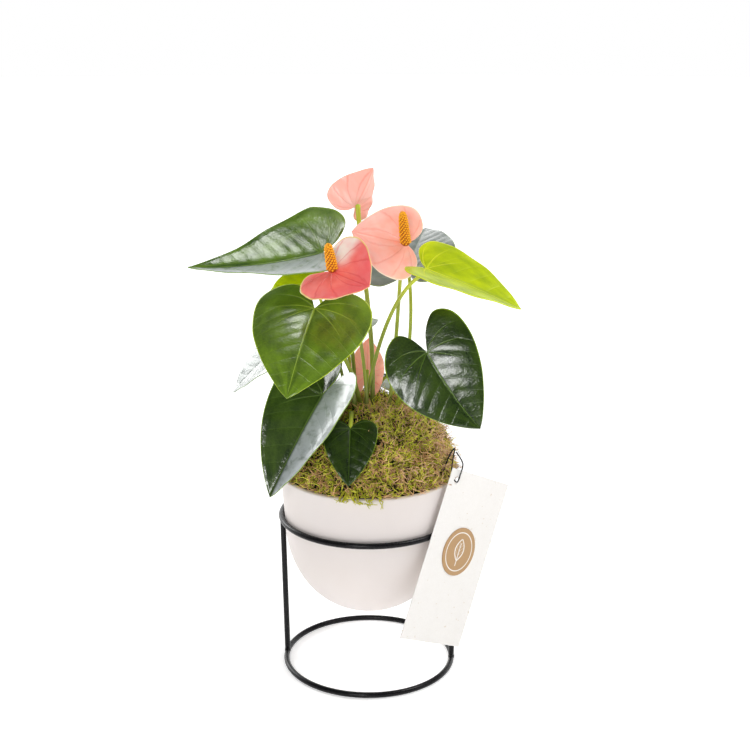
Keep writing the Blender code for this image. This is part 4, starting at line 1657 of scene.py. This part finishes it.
@dataclass
class MossBed:
    """The moss mound: a lumpy bed and several coats of curly fibres grown on it."""

    radius: float = 57.4 * MM
    height: float = 48.0 * MM
    well: float = 25.0 * MM
    lumps: float = 3.2 * MM
    steps: int = 150
    skirt: float = 5.0 * MM
    pot_edge: float = 49.0 * MM
    soil_top: float = 19.8 * MM
    sheet: float = 57.0 * MM
    lip_start: float = 54.0 * MM
    lip_gap: float = 1.6 * MM
    rim_edge: float = 62.0 * MM
    sprig_count: int = 16
    cover_reach: float = 11.0 * MM
    cover_end: float = 24.0 * MM
    covers: tuple[Triple, ...] = (
        (-12.5, -50.0, -8.0),
        (-12.5, -58.0, -20.0),
        (-12.0, -44.0, 0.0),
        (-47.0, -39.0, -12.0),
    )

    def rise(self, radius: float) -> float:
        """Height of the mound above the floor at a distance from the axis."""
        share = min(radius / self.radius, 1.0)
        return PLACE.rim + self.height * (1.0 - share ** 4.2) ** 1.05

    def lump(self, x: float, y: float, z: float) -> float:
        """Height of the lumps at a place."""
        spot = Vector((x, y, z))
        return noise.fractal(spot * 62.0, 0.9, 2.1, 4) * self.lumps

    def shape(self, point: tuple[float, float, float], soft: float) -> tuple[float, float, float]:
        """Push one point of the mound out by its lump.

        Args:
            point: Place from the axis of the bowl.
            soft: Share of the lump that it takes.

        Returns:
            The place in the frame.
        """
        x, y, z = point
        out = math.hypot(x, y)
        push = self.lump(x, y, z) * soft
        slope = min(out / self.radius, 1.0) ** 3
        scale = 1.0 + (push * slope * 0.7 - 0.6 * MM) / max(out, 5 * MM)
        height = z + push * (1.0 - 0.5 * slope) - 0.8 * MM
        return (x * scale + PLACE.axis.x, y * scale + PLACE.axis.y, height)

    def surface(self, name: str, inner: float, outer: float) -> Mesh:
        """An open sheet over the mound, for the fibres to grow on.

        Args:
            name: Name of the mesh.
            inner: Inner radius.
            outer: Outer radius.

        Returns:
            The sheet, facing up.
        """
        turn = 2 * np.pi * np.arange(self.steps) / self.steps
        points = []
        shares = np.sin(np.linspace(0.0, math.pi / 2, 44))
        for share in shares:
            radius = inner + (outer - inner) * share
            dip = max(0.0, 1.0 - radius / self.well)
            height = self.rise(radius) - 4.5 * MM * min(1.0, dip * 3.0)
            for angle in turn:
                flat = (radius * math.cos(angle), radius * math.sin(angle), height)
                points.append(self.shape(flat, 1.0))
        faces = [face[::-1] for face in grid_faces(len(shares), self.steps, True)]
        mesh = bpy.data.meshes.new(name)
        mesh.from_pydata(points, [], faces)
        mesh.update()
        return mesh

    def bed(self) -> None:
        """Build the closed bed under the fibres."""
        shares = np.sin(np.linspace(0.0, math.pi / 2, 30))
        profile = []
        for share in shares:
            radius = self.well * 0.999 + (self.radius - self.well * 0.999) * share
            profile.append((radius, self.rise(radius), 1.0))
        profile.append((self.radius, PLACE.rim - self.skirt, 0.0))
        profile.append((self.pot_edge, PLACE.rim - self.skirt, 0.0))
        profile.append((self.well, PLACE.rim + self.soil_top, 0.0))
        turn = 2 * np.pi * np.arange(self.steps) / self.steps
        points = []
        for radius, height, soft in profile:
            for angle in turn:
                flat = (radius * math.cos(angle), radius * math.sin(angle), height)
                points.append(self.shape(flat, soft))
        faces = grid_faces(len(profile), self.steps, True) + closing_faces(len(profile), self.steps)
        mesh = mesh_from("moss_bed", np.array(points), faces)
        ground = EarthFinish("moss_ground", (0.008, 0.009, 0.003), (0.045, 0.045, 0.010), 420.0)
        place_piece("moss_bed", mesh, ground.material(), "moss", "moss_mound")

    def tree(self) -> Growth:
        """Build the tree that grows curly fibres over a sheet, shorter under the leaves that lie on it.

        Returns:
            The tree.
        """
        kinds = {"Density": "Float", "Length": "Float", "Thickness": "Float", "Curl": "Float"}
        made = Growth("moss_fibres", kinds | {"Seed": "Int", "Finish": "Material"})
        bench, inputs = made.bench, made.inputs
        seed = made.amount("Seed")
        values = {"Mesh": inputs["Geometry"], "Density": inputs["Density"], "Seed": inputs["Seed"]}
        spread = bench.node("GeometryNodeDistributePointsOnFaces", None, values)
        line = bench.node("GeometryNodeCurvePrimitiveLine", None, {"Start": (0, 0, 0), "End": (0, 0, 1)})
        fine = bench.node("GeometryNodeResampleCurve", None, {"Curve": line.outputs[0], "Count": 7})
        values = {"Min": (-1.35, -1.35, -3.1), "Max": (1.35, 1.35, 3.1), "Seed": seed + 11.0}
        tilt = bench.node("FunctionNodeRandomValue", {"data_type": "FLOAT_VECTOR"}, values)
        values = {"Rotation": spread.outputs["Rotation"], "Rotate By": tilt.outputs[0]}
        turned_by = bench.node("FunctionNodeRotateRotation", {"rotation_space": "LOCAL"}, values)
        long = made.amount("Length") * made.chance(0.45, 1.0, seed + 23.0)
        where = bench.node("GeometryNodeInputPosition").outputs[0]
        for spot in self.covers:
            values = {0: where, 1: tuple(PLACE.from_crown(spot))}
            gap = bench.node("ShaderNodeVectorMath", {"operation": "DISTANCE"}, values)
            room = Signal(bench, gap.outputs["Value"]).rise(self.cover_reach, self.cover_end)
            long = long * (0.30 + room * 0.70)
        values = {"Points": spread.outputs["Points"], "Instance": fine.outputs[0]}
        values |= {"Rotation": turned_by.outputs[0], "Scale": long}
        grown = bench.node("GeometryNodeInstanceOnPoints", None, values).outputs[0]
        tinted = made.mark(grown, "INSTANCE", "tint", made.chance(0.0, 1.0, seed + 37.0))
        real = bench.node("GeometryNodeRealizeInstances", None, {0: tinted})
        share = Signal(bench, bench.node("GeometryNodeSplineParameter").outputs["Factor"])
        tipped = made.mark(real.outputs[0], "POINT", "tip", share)
        swirl = bench.node("ShaderNodeTexNoise", None, {"Vector": where, "Scale": 230.0, "Detail": 1.0})
        values = {0: swirl.outputs["Color"], 1: (0.5, 0.5, 0.56)}
        centred = bench.node("ShaderNodeVectorMath", {"operation": "SUBTRACT"}, values)
        values = {0: centred.outputs[0], "Scale": made.amount("Curl") * share}
        moved = bench.node("ShaderNodeVectorMath", {"operation": "SCALE"}, values)
        bent = made.shift(tipped, "Offset", moved.outputs[0])
        east, north, height = bench.parts(where)
        east, north = east - PLACE.axis.x, north - PLACE.axis.y
        over_lip = (east * east + north * north).work("SQRT").rise(self.lip_start, self.sheet)
        lift = (PLACE.rim + self.lip_gap - height).work("MAXIMUM", 0.0) * over_lip
        raised = bench.node("ShaderNodeCombineXYZ", None, {2: lift})
        draped = made.shift(bent, "Offset", raised.outputs[0])
        values = {"Curve": draped, "Radius": 1.0 - share * 0.65}
        girth = bench.node("GeometryNodeSetCurveRadius", None, values)
        values = {"Resolution": 3, "Radius": made.amount("Thickness") * 0.5}
        section = bench.node("GeometryNodeCurvePrimitiveCircle", {"mode": "RADIUS"}, values)
        values = {"Curve": girth.outputs[0], "Profile Curve": section.outputs[0], "Fill Caps": True}
        swept = bench.node("GeometryNodeCurveToMesh", None, values)
        if "Scale" in swept.inputs:
            radius = bench.node("GeometryNodeInputRadius")
            made.tree.links.new(radius.outputs[0], swept.inputs["Scale"])
        made.end(swept.outputs[0])
        return made

    def grow(self, fibre: Fibre) -> None:
        """Grow one coat of fibres.

        Args:
            fibre: The kind of fibre.
        """
        sheet = self.surface("moss_sheet", 2.0 * MM, self.sheet)
        area = sum(face.area for face in sheet.polygons)
        material = fibre.finish.material()
        piece = add_piece("moss_" + fibre.name, sheet, material)
        self.tree().run(
            piece,
            Density=fibre.count / area,
            Length=fibre.length,
            Thickness=fibre.thickness,
            Curl=fibre.curl,
            Seed=fibre.seed,
            Finish=material,
        )
        settle(piece, "moss", "moss_mound")

    def sprigs(self, material: Material) -> None:
        """Lay loose sprigs over the front of the rim.

        Args:
            material: Material of the sprigs.
        """
        bunch = bmesh.new()
        for index in range(self.sprig_count):
            wobble = noise.noise(Vector((index * 1.7, 3.1, 0.4)))
            spread = (-0.26, -0.16, -0.22, 0.12)[index % 4]
            angle = -math.pi / 2 + spread + 0.14 * wobble
            drop = (3.4 + 4.0 * noise.noise(Vector((index * 2.3, 0.7, 5.0)))) * MM
            out = np.array((math.cos(angle), math.sin(angle), 0.0))
            side = np.array((-math.sin(angle), math.cos(angle), 0.0)) * wobble * 8.0 * MM
            up = np.array((0.0, 0.0, 1.0))
            base = np.array((*PLACE.axis.xy, PLACE.rim))
            knots = [
                base + out * (self.rim_edge - 10.0 * MM) + up * 6.0 * MM - side * 0.4,
                base + out * (self.rim_edge - 4.0 * MM) + up * 3.2 * MM,
                base + out * (self.rim_edge + 0.4 * MM) + up * 1.4 * MM + side * 0.5,
            ]
            for step in range(1, 6):
                stray = [noise.noise(Vector((index * 3.1, step * 0.9, axis * 7.0))) for axis in range(3)]
                fall = drop * step / 5 - 1.0 * MM
                spot = base + out * (self.rim_edge + 2.2 * MM) - up * fall + side * (0.5 + step * 0.3)
                knots.append(spot + (out * max(stray[0], -0.2) + np.array(stray) * 0.8) * 4.0 * MM)
            knots = np.array(knots)
            points = smooth_curve(knots, np.linspace(0.0, 1.0, 26))
            girth = np.linspace(0.52, 0.22, 26) * MM
            gather(bunch, Tube(points, girth, 6).mesh("sprig"))
        place_piece("moss_sprigs", mesh_of("moss_sprigs", bunch), material, "moss")

    def build(self) -> None:
        """Build the bed, grow every coat of fibres and lay the sprigs."""
        self.bed()
        for fibre in FIBRES:
            self.grow(fibre)
        self.sprigs(SPRIG.material())


FIBRES = (
    Fibre(
        "fresh", 3500, 9.5 * MM, 1.05 * MM, 22.0 * MM, 3,
        MossFinish("moss_fresh", (0.32, 0.34, 0.02), (0.97, 0.97, 0.12), (0.94, 0.70, 0.28), -0.05),
    ),
    Fibre(
        "olive", 2800, 9.5 * MM, 0.95 * MM, 22.0 * MM, 17,
        MossFinish("moss_olive", (0.11, 0.12, 0.008), (0.78, 0.79, 0.07), (0.80, 0.50, 0.20), 0.03),
    ),
    Fibre(
        "tan", 3500, 13.0 * MM, 0.85 * MM, 30.0 * MM, 29,
        MossFinish("moss_tan", (0.26, 0.12, 0.04), (0.96, 0.60, 0.28), (0.98, 0.66, 0.42), 0.12),
    ),
    # Short near-black fibres: painted shade between the tufts.
    Fibre(
        "shade", 2400, 8.0 * MM, 1.05 * MM, 18.0 * MM, 41,
        MossFinish("moss_shade", (0.006, 0.007, 0.002), (0.040, 0.046, 0.005), (0.07, 0.038, 0.014), 0.05),
    ),
)


SPRIG = MossFinish("moss_sprig_tint", (0.50, 0.48, 0.04), (0.70, 0.66, 0.10), (0.80, 0.56, 0.28), 0.1)


# Gift tag ---------------------------------------------------------------------------------------


@dataclass
class Tag:
    """The gift tag: a rough card, its round sticker and the twisted wire it hangs on."""

    width: float = 66.0 * MM
    length: float = 120.0 * MM
    thickness: float = 0.6 * MM
    yaw: float = math.radians(-45.0)
    tilt: float = math.radians(25.0)
    hole_radius: float = 2.6 * MM
    inset: float = 7.5 * MM
    along: float = 19.5 * MM
    above_rim: float = 3.0 * MM
    reach: float = 64.7 * MM
    sticker_radius: float = 17.0 * MM
    sticker_thickness: float = 0.4 * MM
    sticker_drop: float = 54.5 * MM
    twist_pitch: float = 3.2 * MM
    twist_radius: float = 0.30 * MM
    coat: CoatFinish = CoatFinish(
        "wire_lacquer", (0.012, 0.012, 0.013), (0.06, 0.055, 0.05), 0.32, 2600.0, 0.03 * MM
    )

    def directions(self) -> tuple[Vector, Vector, Vector, Vector]:
        """Across, up and out of the card, and its level edge direction.

        Returns:
            The four directions.
        """
        out = Vector((math.cos(self.yaw), math.sin(self.yaw), 0.0))
        level = Vector((-out.y, out.x, 0.0))
        rise = Vector((0.0, 0.0, 1.0))
        across = level * math.cos(self.tilt) - rise * math.sin(self.tilt)
        up = level * math.sin(self.tilt) + rise * math.cos(self.tilt)
        return across, up, out, level

    def hole(self) -> Vector:
        """Middle of the hole.

        Returns:
            The point in the frame.
        """
        _, _, out, level = self.directions()
        spot = PLACE.axis + out * self.reach + level * self.along
        spot.z = PLACE.rim + self.above_rim
        return spot

    def lay(self, mesh: Mesh, across: float, up: float, out: float) -> None:
        """Carry a flat mesh into the plane of the card.

        Args:
            mesh: Mesh drawn flat about its own origin.
            across: Place across from the hole.
            up: Place up from the hole.
            out: Place in front of the card's middle.
        """
        right, rise, normal, _ = self.directions()
        spot = self.hole() + right * across + rise * up + normal * out
        turn = Matrix((right, rise, normal)).transposed().to_4x4()
        mesh.transform(Matrix.Translation(spot) @ turn)

    def card(self) -> None:
        """Build the card with torn-looking edges and its hole."""
        left, top = -self.inset, self.inset
        corners = [
            (left, top),
            (left, top - self.length),
            (left + self.width, top - self.length),
            (left + self.width, top),
        ]
        outline = []
        for (x0, y0), (x1, y1) in zip(corners, corners[1:] + corners[:1]):
            steps = max(2, round(math.hypot(x1 - x0, y1 - y0) / (1.5 * MM)))
            inward = Vector((y0 - y1, x1 - x0)).normalized()
            for step in range(steps):
                share = step / steps
                x, y = x0 + (x1 - x0) * share, y0 + (y1 - y0) * share
                bite = 0.22 * MM * (0.5 + noise.noise(Vector((x * 420.0, y * 420.0, 1.0)))) if step else 0.0
                outline.append((x + inward.x * bite, y + inward.y * bite))
        turn = [2 * math.pi * index / 40 for index in range(40)]
        hole = [(self.hole_radius * math.cos(a), self.hole_radius * math.sin(a)) for a in turn]
        curve = bpy.data.curves.new("card_outline", "CURVE")
        curve.dimensions = "2D"
        curve.fill_mode = "BOTH"
        curve.extrude = self.thickness / 2
        for ring in (outline, hole):
            spline = curve.splines.new("POLY")
            spline.points.add(len(ring) - 1)
            for index, (x, y) in enumerate(ring):
                spline.points[index].co = (x, y, 0.0, 1.0)
            spline.use_cyclic_u = True
        drawn = bpy.data.objects.new("card_outline", curve)
        bpy.context.scene.collection.objects.link(drawn)
        bpy.context.view_layer.update()
        graph = bpy.context.evaluated_depsgraph_get()
        mesh = bpy.data.meshes.new_from_object(drawn.evaluated_get(graph))
        bpy.data.objects.remove(drawn)
        work = bmesh.new()
        work.from_mesh(mesh)
        bmesh.ops.remove_doubles(work, verts=work.verts, dist=0.000001)
        bmesh.ops.recalc_face_normals(work, faces=work.faces)
        work.to_mesh(mesh)
        work.free()
        self.lay(mesh, 0.0, 0.0, 0.0)
        place_piece("tag_paper_card", mesh, PaperFinish().material(), "tag", "tag_card")

    def sticker(self) -> None:
        """Build the sticker as a thin disc with a soft edge."""
        rings, steps = 24, 96
        shares = np.linspace(0.0, 1.0, rings)
        profile = [(self.sticker_radius * s, self.sticker_thickness / 2) for s in shares]
        profile += [(self.sticker_radius, -self.sticker_thickness / 2), (0.0, -self.sticker_thickness / 2)]
        mesh = turned("tag_sticker", np.array(profile), steps, Vector((0, 0, 0)))
        layer = mesh.attributes.new("print_place", "FLOAT_VECTOR", "POINT")
        radius = self.sticker_radius
        flat = np.array([(spot.co.x / radius, spot.co.y / radius, 0.0) for spot in mesh.vertices])
        layer.data.foreach_set("vector", flat.astype(np.float32).ravel())
        out = self.thickness / 2 + 0.1 * MM + self.sticker_thickness / 2
        self.lay(mesh, self.width / 2 - self.inset, self.inset - self.sticker_drop, out)
        place_piece("tag_round_sticker", mesh, StickerFinish().material(), "sticker", "tag_sticker")

    def route(self) -> np.ndarray:
        """Points that the wire follows: out of the moss, to the knot, round the hole and back.

        Returns:
            Ten points.
        """
        _, _, normal, level = self.directions()
        hole = self.hole()
        out = normal * (self.thickness / 2 + 1.6 * MM)
        rise = Vector((0.0, 0.0, MM))
        knot = hole - normal * 2.0 * MM + rise * 22.0
        start = knot - normal * 9.5 * MM - level * 2.0 * MM
        flat = start - PLACE.axis
        start.z = MossBed().rise(math.hypot(flat.x, flat.y)) - 2.0 * MM
        bend = (start + knot) / 2 + rise * 3.5
        side = level * 4.0 * MM
        return np.array([
            start,
            bend,
            knot,
            hole - side * 0.8 - out * 0.6 + rise * 11.0,
            hole - side * 0.5 - out + rise * 4.0,
            hole - out * 0.7 - rise * 0.8,
            hole + out * 0.7 - rise * 0.8,
            hole + side * 0.5 + out + rise * 4.0,
            hole + side * 1.2 + out * 0.8 + rise * 11.0,
            knot + out * 0.9 - rise * 2.0,
        ])

    def twisted_wire(self) -> None:
        """Build the wire: two strands twisted up to the knot, then one strand round the loop."""
        route = self.route()
        knot_share = 2.0 / (len(route) - 1)
        bunch = bmesh.new()
        for strand in (0, 1):
            far = 1.0 if strand == 0 else knot_share * 1.12
            where = np.linspace(0.0, far, 220 if strand == 0 else 70)
            path = smooth_curve(route, where)
            first, second = Tube(path, np.ones(len(path))).frames()
            lengths = np.concatenate([[0.0], np.cumsum(np.linalg.norm(np.diff(path, axis=0), axis=1))])
            turn = (lengths / self.twist_pitch * 2 * np.pi + strand * np.pi)[:, None]
            apart = self.twist_radius * (1.0 - 0.85 * ease(where, knot_share, knot_share * 1.25))[:, None]
            points = path + first * np.cos(turn) * apart + second * np.sin(turn) * apart
            thick = 0.34 * MM + 0.12 * MM * ease(where, knot_share, knot_share * 1.3)
            gather(bunch, Tube(points, thick * np.ones(len(points)), 10).mesh("strand"))
        mesh = mesh_of("tag_wire", bunch)
        place_piece("tag_twisted_wire", mesh, self.coat.material(), "tag_wire", "tag_wire")

    def build(self) -> None:
        """Build the three pieces."""
        self.card()
        self.sticker()
        self.twisted_wire()


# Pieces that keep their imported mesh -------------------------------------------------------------


@dataclass
class HiddenCore:
    """The grower's pot, the root ball and the crown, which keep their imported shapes."""

    def dress(self) -> None:
        """Give each its finish."""
        finishes = {
            "nursery_pot": CoatFinish(
                "nursery_plastic", (0.020, 0.020, 0.021), (0.05, 0.05, 0.05), 0.5, 600.0
            ),
            "root_ball": EarthFinish("potting_soil", (0.018, 0.011, 0.007), (0.085, 0.055, 0.035), 300.0),
            "crown": EarthFinish("crown_litter", (0.050, 0.045, 0.012), (0.26, 0.22, 0.07), 520.0),
        }
        for node, finish in finishes.items():
            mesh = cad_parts[node].data
            mesh.materials.clear()
            mesh.materials.append(finish.material())
            report.info("%s: packed shape, finish %s", node, finish.name)


# Plant tables -----------------------------------------------------------------------------------

LEAVES = (
    Leaf(
        "upper_left",
        HeartShape((-32, 2, 111), (-120, -13, 104), (0.05, -0.36, 0.93), 0.48, 0.25, 22, -14, 8, 1.2, 0.12),
        Stalk((-9, 8), (-1, 8, 50), (18, 19, -26), 2.8),
        Blade.FRESH,
    ),
    Leaf(
        "young_left",
        HeartShape((-35, -5, 94), (-67, -12, 85), (-0.3, -0.55, 0.78), 0.50, 0.24, 14, 15, 10),
        Stalk((-13, 5), (-6, -2, 40), (6, 6, -22), 2.2),
        Blade.OLIVE,
        "leaf_young",
    ),
    Leaf(
        "front_left",
        HeartShape((-35, -36, 81), (-51, -84, 34), (-0.05, -0.66, 0.75), 0.56, 0.29, 6, 24, 16),
        Stalk((-5, -9), (-1, 2, 32), (14, 12, -24), 2.8),
        Blade.MIDDLE,
    ),
    Leaf(
        "lower_left",
        HeartShape((-31, -25, 19), (-65, -60, -41), (-0.36, -0.80, 0.5), 0.44, 0.26, 34, 14, 8),
        Stalk((-13, -9), (-4, -1, 14), (8, 6, -3), 3.4),
        Blade.HALF_PAINTED_SHEEN,
    ),
    Leaf(
        "front_small",
        HeartShape((-12, -43, 1), (-13, -66, -31), (0.0, -0.85, 0.5), 0.47, 0.16, 12, 20, 12),
        Stalk((-10, -17), (-2, -3, 18), (1, 8, 10), 3.0),
        Blade.LOW,
    ),
    Leaf(
        "right",
        HeartShape((39, -30, 50), (74, -46, 2), (0.0, -0.96, 0.27), 0.52, 0.34, 8, 16, 12, 0.0, -0.14),
        Stalk((17, -8), (2, -2, 16), (-10, 14, -8), 2.8),
        Blade.DARK,
    ),
    Leaf(
        "upper_right",
        HeartShape((39, -8, 102), (101, -24, 78), (0.28, -0.26, 0.93), 0.51, 0.17, 18, 12, 8, 0.0, -0.2),
        Stalk((-4, -3), (7, -1, 38), (-26, 1, -10), 2.6),
        Blade.LIME,
        "leaf_young",
    ),
    Leaf(
        "back_upper",
        HeartShape((27, 24, 94), (42, 88, 114), (-0.20, -0.15, 0.94), 0.50, 0.26, 10, 12, 8),
        Stalk((19, 4), (10, 2, 34), (4, -2, -24), 2.4),
        Blade.GREY_PAINTED_SHEEN,
    ),
    Leaf(
        "back_left",
        HeartShape((-56, 36, 42), (-98, 40, 2), (-0.55, -0.3, 0.78), 0.48, 0.30, 14, 18, 10),
        Stalk((-17, 9), (-6, 4, 24), (16, -8, -10), 2.6),
        Blade.GREY_PAINTED_SHEEN,
    ),
    Leaf(
        "behind_lower_left",
        HeartShape((-36, 4, 28), (-70, -8, -18), (-0.45, -0.5, 0.74), 0.46, 0.28, 16, 16, 10),
        Stalk((-18, -1), (-5, 0, 14), (8, 1, -6), 2.6),
        Blade.DARK,
    ),
    Leaf(
        "moss_left",
        HeartShape((-39, -32, 0), (-55, -46, -25), (-0.6, -0.50, 0.63), 0.42, 0.24, 12, 16, 10),
        Stalk((-16, -13), (-2, -2, 22), (8, 6, 4), 2.2),
        Blade.DARK,
    ),
    Leaf(
        "back_low",
        HeartShape((12, 38, 16), (24, 74, -12), (0.1, 0.45, 0.88), 0.48, 0.26, 12, 18, 10),
        Stalk((4, 20), (0, 4, 14), (-2, -10, 3), 2.4),
        Blade.DARK,
    ),
    Leaf(
        "back_right",
        HeartShape((44, 38, 31), (72, 84, 1), (0.4, 0.35, 0.84), 0.52, 0.33, 10, 20, 12),
        Stalk((17, 11), (4, 3, 22), (-9, -9, -6), 2.6),
        Blade.MIDDLE,
    ),
    Leaf(
        "back_centre",
        HeartShape((-19, 48, 50), (-28, 94, 18), (-0.1, 0.4, 0.9), 0.47, 0.28, 10, 20, 12),
        Stalk((-9, 19), (-2, 4, 30), (4, -10, -16), 2.6),
        Blade.DARK,
    ),
)

FLOWERS = (
    Flower(
        "front",
        HeartShape((-23, -44, 107), (1, -67, 102), (-0.31, -0.57, 0.76), 0.80, 0.33, 7, -12, -8),
        Stalk((-1, -13), (0, 1, 54), (8, 32, -4), 2.4),
        (-0.14, -0.28, 0.95),
        16.0,
        Petal.CORAL,
        "spathe_coral",
    ),
    Flower(
        "right",
        HeartShape((25, -7, 119), (-11, -19, 129), (-0.05, -0.93, 0.30), 0.64, 0.26, -8, -10, -10),
        Stalk((13, -3), (6, 0, 40), (-2, 9, -24), 2.6),
        (-0.10, -0.33, 0.94),
        21.0,
        Petal.SALMON,
        "spathe",
    ),
    Flower(
        "top",
        HeartShape((-9, 2, 142), (3, 12, 167), (-0.50, 0.72, -0.10), 0.72, 0.25, 34, -16, 0),
        Stalk((2, 2), (4, 3, 50), (2, 2, -44), 3.2),
        (-0.25, 0.55, 0.80),
        15.0,
        Petal.SALMON,
        "spathe",
    ),
    Flower(
        "low",
        HeartShape((-1, 15, 25), (0, 14, 49), (0.05, 0.98, 0.10), 0.50, 0.80, 16, -10, 0),
        Stalk((-1, 10), (0, 0, 8), (0, -1, -8), 2.4),
        (0.10, 0.72, 0.69),
        14.0,
        Petal.BLUSH_PAINTED_GLOW,
        "spathe_coral",
    ),
)

SHEATHS = (
    Sheath("left", (-9, -14), (-1, -3, 22), 2.1),
    Sheath("right", (21.5, -2), (1, 1, 14), 1.7),
)


# Studio -----------------------------------------------------------------------------------------


@dataclass
class Studio:
    """White floor, soft lights and the camera."""

    camera_offset: Triple = (4.4 * MM, -872.0 * MM, 456.0 * MM)
    camera_pitch: float = math.radians(15.5)
    lens: float = 62.98

    def floor(self) -> None:
        """Lay a pale floor, lit a little from within so that it stays white; its glow is weaker near the
        plant, a painted shadow round the foot.
        """
        work = bmesh.new()
        bmesh.ops.create_circle(work, cap_ends=True, segments=96, radius=9.0)
        mesh = bpy.data.meshes.new("floor")
        work.to_mesh(mesh)
        work.free()
        made = bpy.data.materials.new("floor_white")
        made.use_nodes = True
        shader = made.node_tree.nodes["Principled BSDF"]
        shader.inputs["Base Color"].default_value = (0.93, 0.93, 0.93, 1.0)
        shader.inputs["Roughness"].default_value = 0.9
        shader.inputs["Specular IOR Level"].default_value = 0.1
        bench = Bench(made.node_tree)
        east, north, _ = bench.parts(object_coordinates(bench))
        # Painted shadow: the glow fades to grey near the plant.
        away = (east * east + north * north).work("SQRT").rise(0.3, 1.5)
        shade = bench.mix(away, (0.42, 0.42, 0.42), (1.0, 1.0, 1.0))
        made.node_tree.links.new(shade, shader.inputs["Emission Color"])
        shader.inputs["Emission Strength"].default_value = 1.0
        add_piece("floor", mesh, made)

    def sky(self) -> None:
        """Surround that lights from behind and looks plain white from every side."""
        world = bpy.data.worlds.new("studio_white")
        bpy.context.scene.world = world
        world.use_nodes = True
        bench = Bench(world.node_tree)
        _, y, z = bench.parts(bench.node("ShaderNodeTexCoord").outputs["Generated"])
        behind = y.rise(-0.1, 0.75) * z.fall(0.25, 0.8)
        glow = bench.mix(behind, (0.13, 0.13, 0.13), (1.9, 1.9, 1.9))
        seen = Signal(bench, bench.node("ShaderNodeLightPath").outputs["Is Camera Ray"])
        colour = bench.mix(seen, glow, (1.0, 1.0, 1.0))
        back = world.node_tree.nodes["Background"]
        world.node_tree.links.new(colour, back.inputs["Color"])
        back.inputs["Strength"].default_value = 1.0

    @staticmethod
    def softbox(name: str, spot: Triple, aim: Triple, size: tuple[float, float], power: float) -> None:
        """Hang one softbox.

        Args:
            name: Name of the light.
            spot: Where it hangs.
            aim: What it points at.
            size: Its width and height.
            power: Its power in watts.
        """
        lamp = bpy.data.lights.new(name, "AREA")
        lamp.shape = "RECTANGLE"
        lamp.size, lamp.size_y = size
        lamp.energy = power
        box = bpy.data.objects.new(name, lamp)
        bpy.context.scene.collection.objects.link(box)
        box.location = spot
        box.rotation_euler = (Vector(aim) - Vector(spot)).to_track_quat("-Z", "Y").to_euler()

    def lights(self) -> None:
        """Hang the softboxes."""
        middle = (0.0, 0.0, 0.2)
        self.softbox("key_right", (0.85, -0.15, 1.20), middle, (0.5, 0.5), 8.0)
        self.softbox("behind_left", (-0.94, 0.78, 0.69), middle, (0.6, 0.6), 6.5)
        self.softbox("overhead", (-0.06, -0.05, 1.40), middle, (0.20, 0.17), 2.0)
        self.softbox("front_fill", (-0.26, -1.25, 0.66), middle, (0.30, 0.30), 5.5)

    def camera(self) -> None:
        """Set up the camera."""
        lens = bpy.data.cameras.new("camera")
        lens.lens = self.lens
        lens.sensor_width = 36.0
        lens.clip_start = 0.02
        lens.clip_end = 60.0
        view = bpy.data.objects.new("camera", lens)
        bpy.context.scene.collection.objects.link(view)
        view.location = PLACE.axis + Vector(self.camera_offset)
        view.rotation_euler = (math.pi / 2 - self.camera_pitch, 0.0, 0.0)
        bpy.context.scene.camera = view

    def build(self) -> None:
        """Set up the whole studio."""
        self.floor()
        self.sky()
        self.lights()
        self.camera()
        bpy.context.scene.view_settings.view_transform = "Standard"


def main() -> None:
    """Build every piece in order and note the sizes."""
    logging.basicConfig(level=logging.INFO, format="%(name)s: %(message)s")
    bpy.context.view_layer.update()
    Studio().build()
    HiddenCore().dress()
    Stand().build()
    Bowl().build()
    MossBed().build()
    stem, bract = STEM.material(), BRACT.material()
    blades = {kind: kind.value.material() for kind in Blade}
    petals = {kind: kind.value.material() for kind in Petal}
    for leaf in LEAVES:
        leaf.build(stem, blades)
    spike = SpadixMaker()
    for flower in FLOWERS:
        flower.build(stem, petals, spike)
    for sheath in SHEATHS:
        sheath.build(bract)
    Tag().build()


if __name__ == "__main__":
    main()
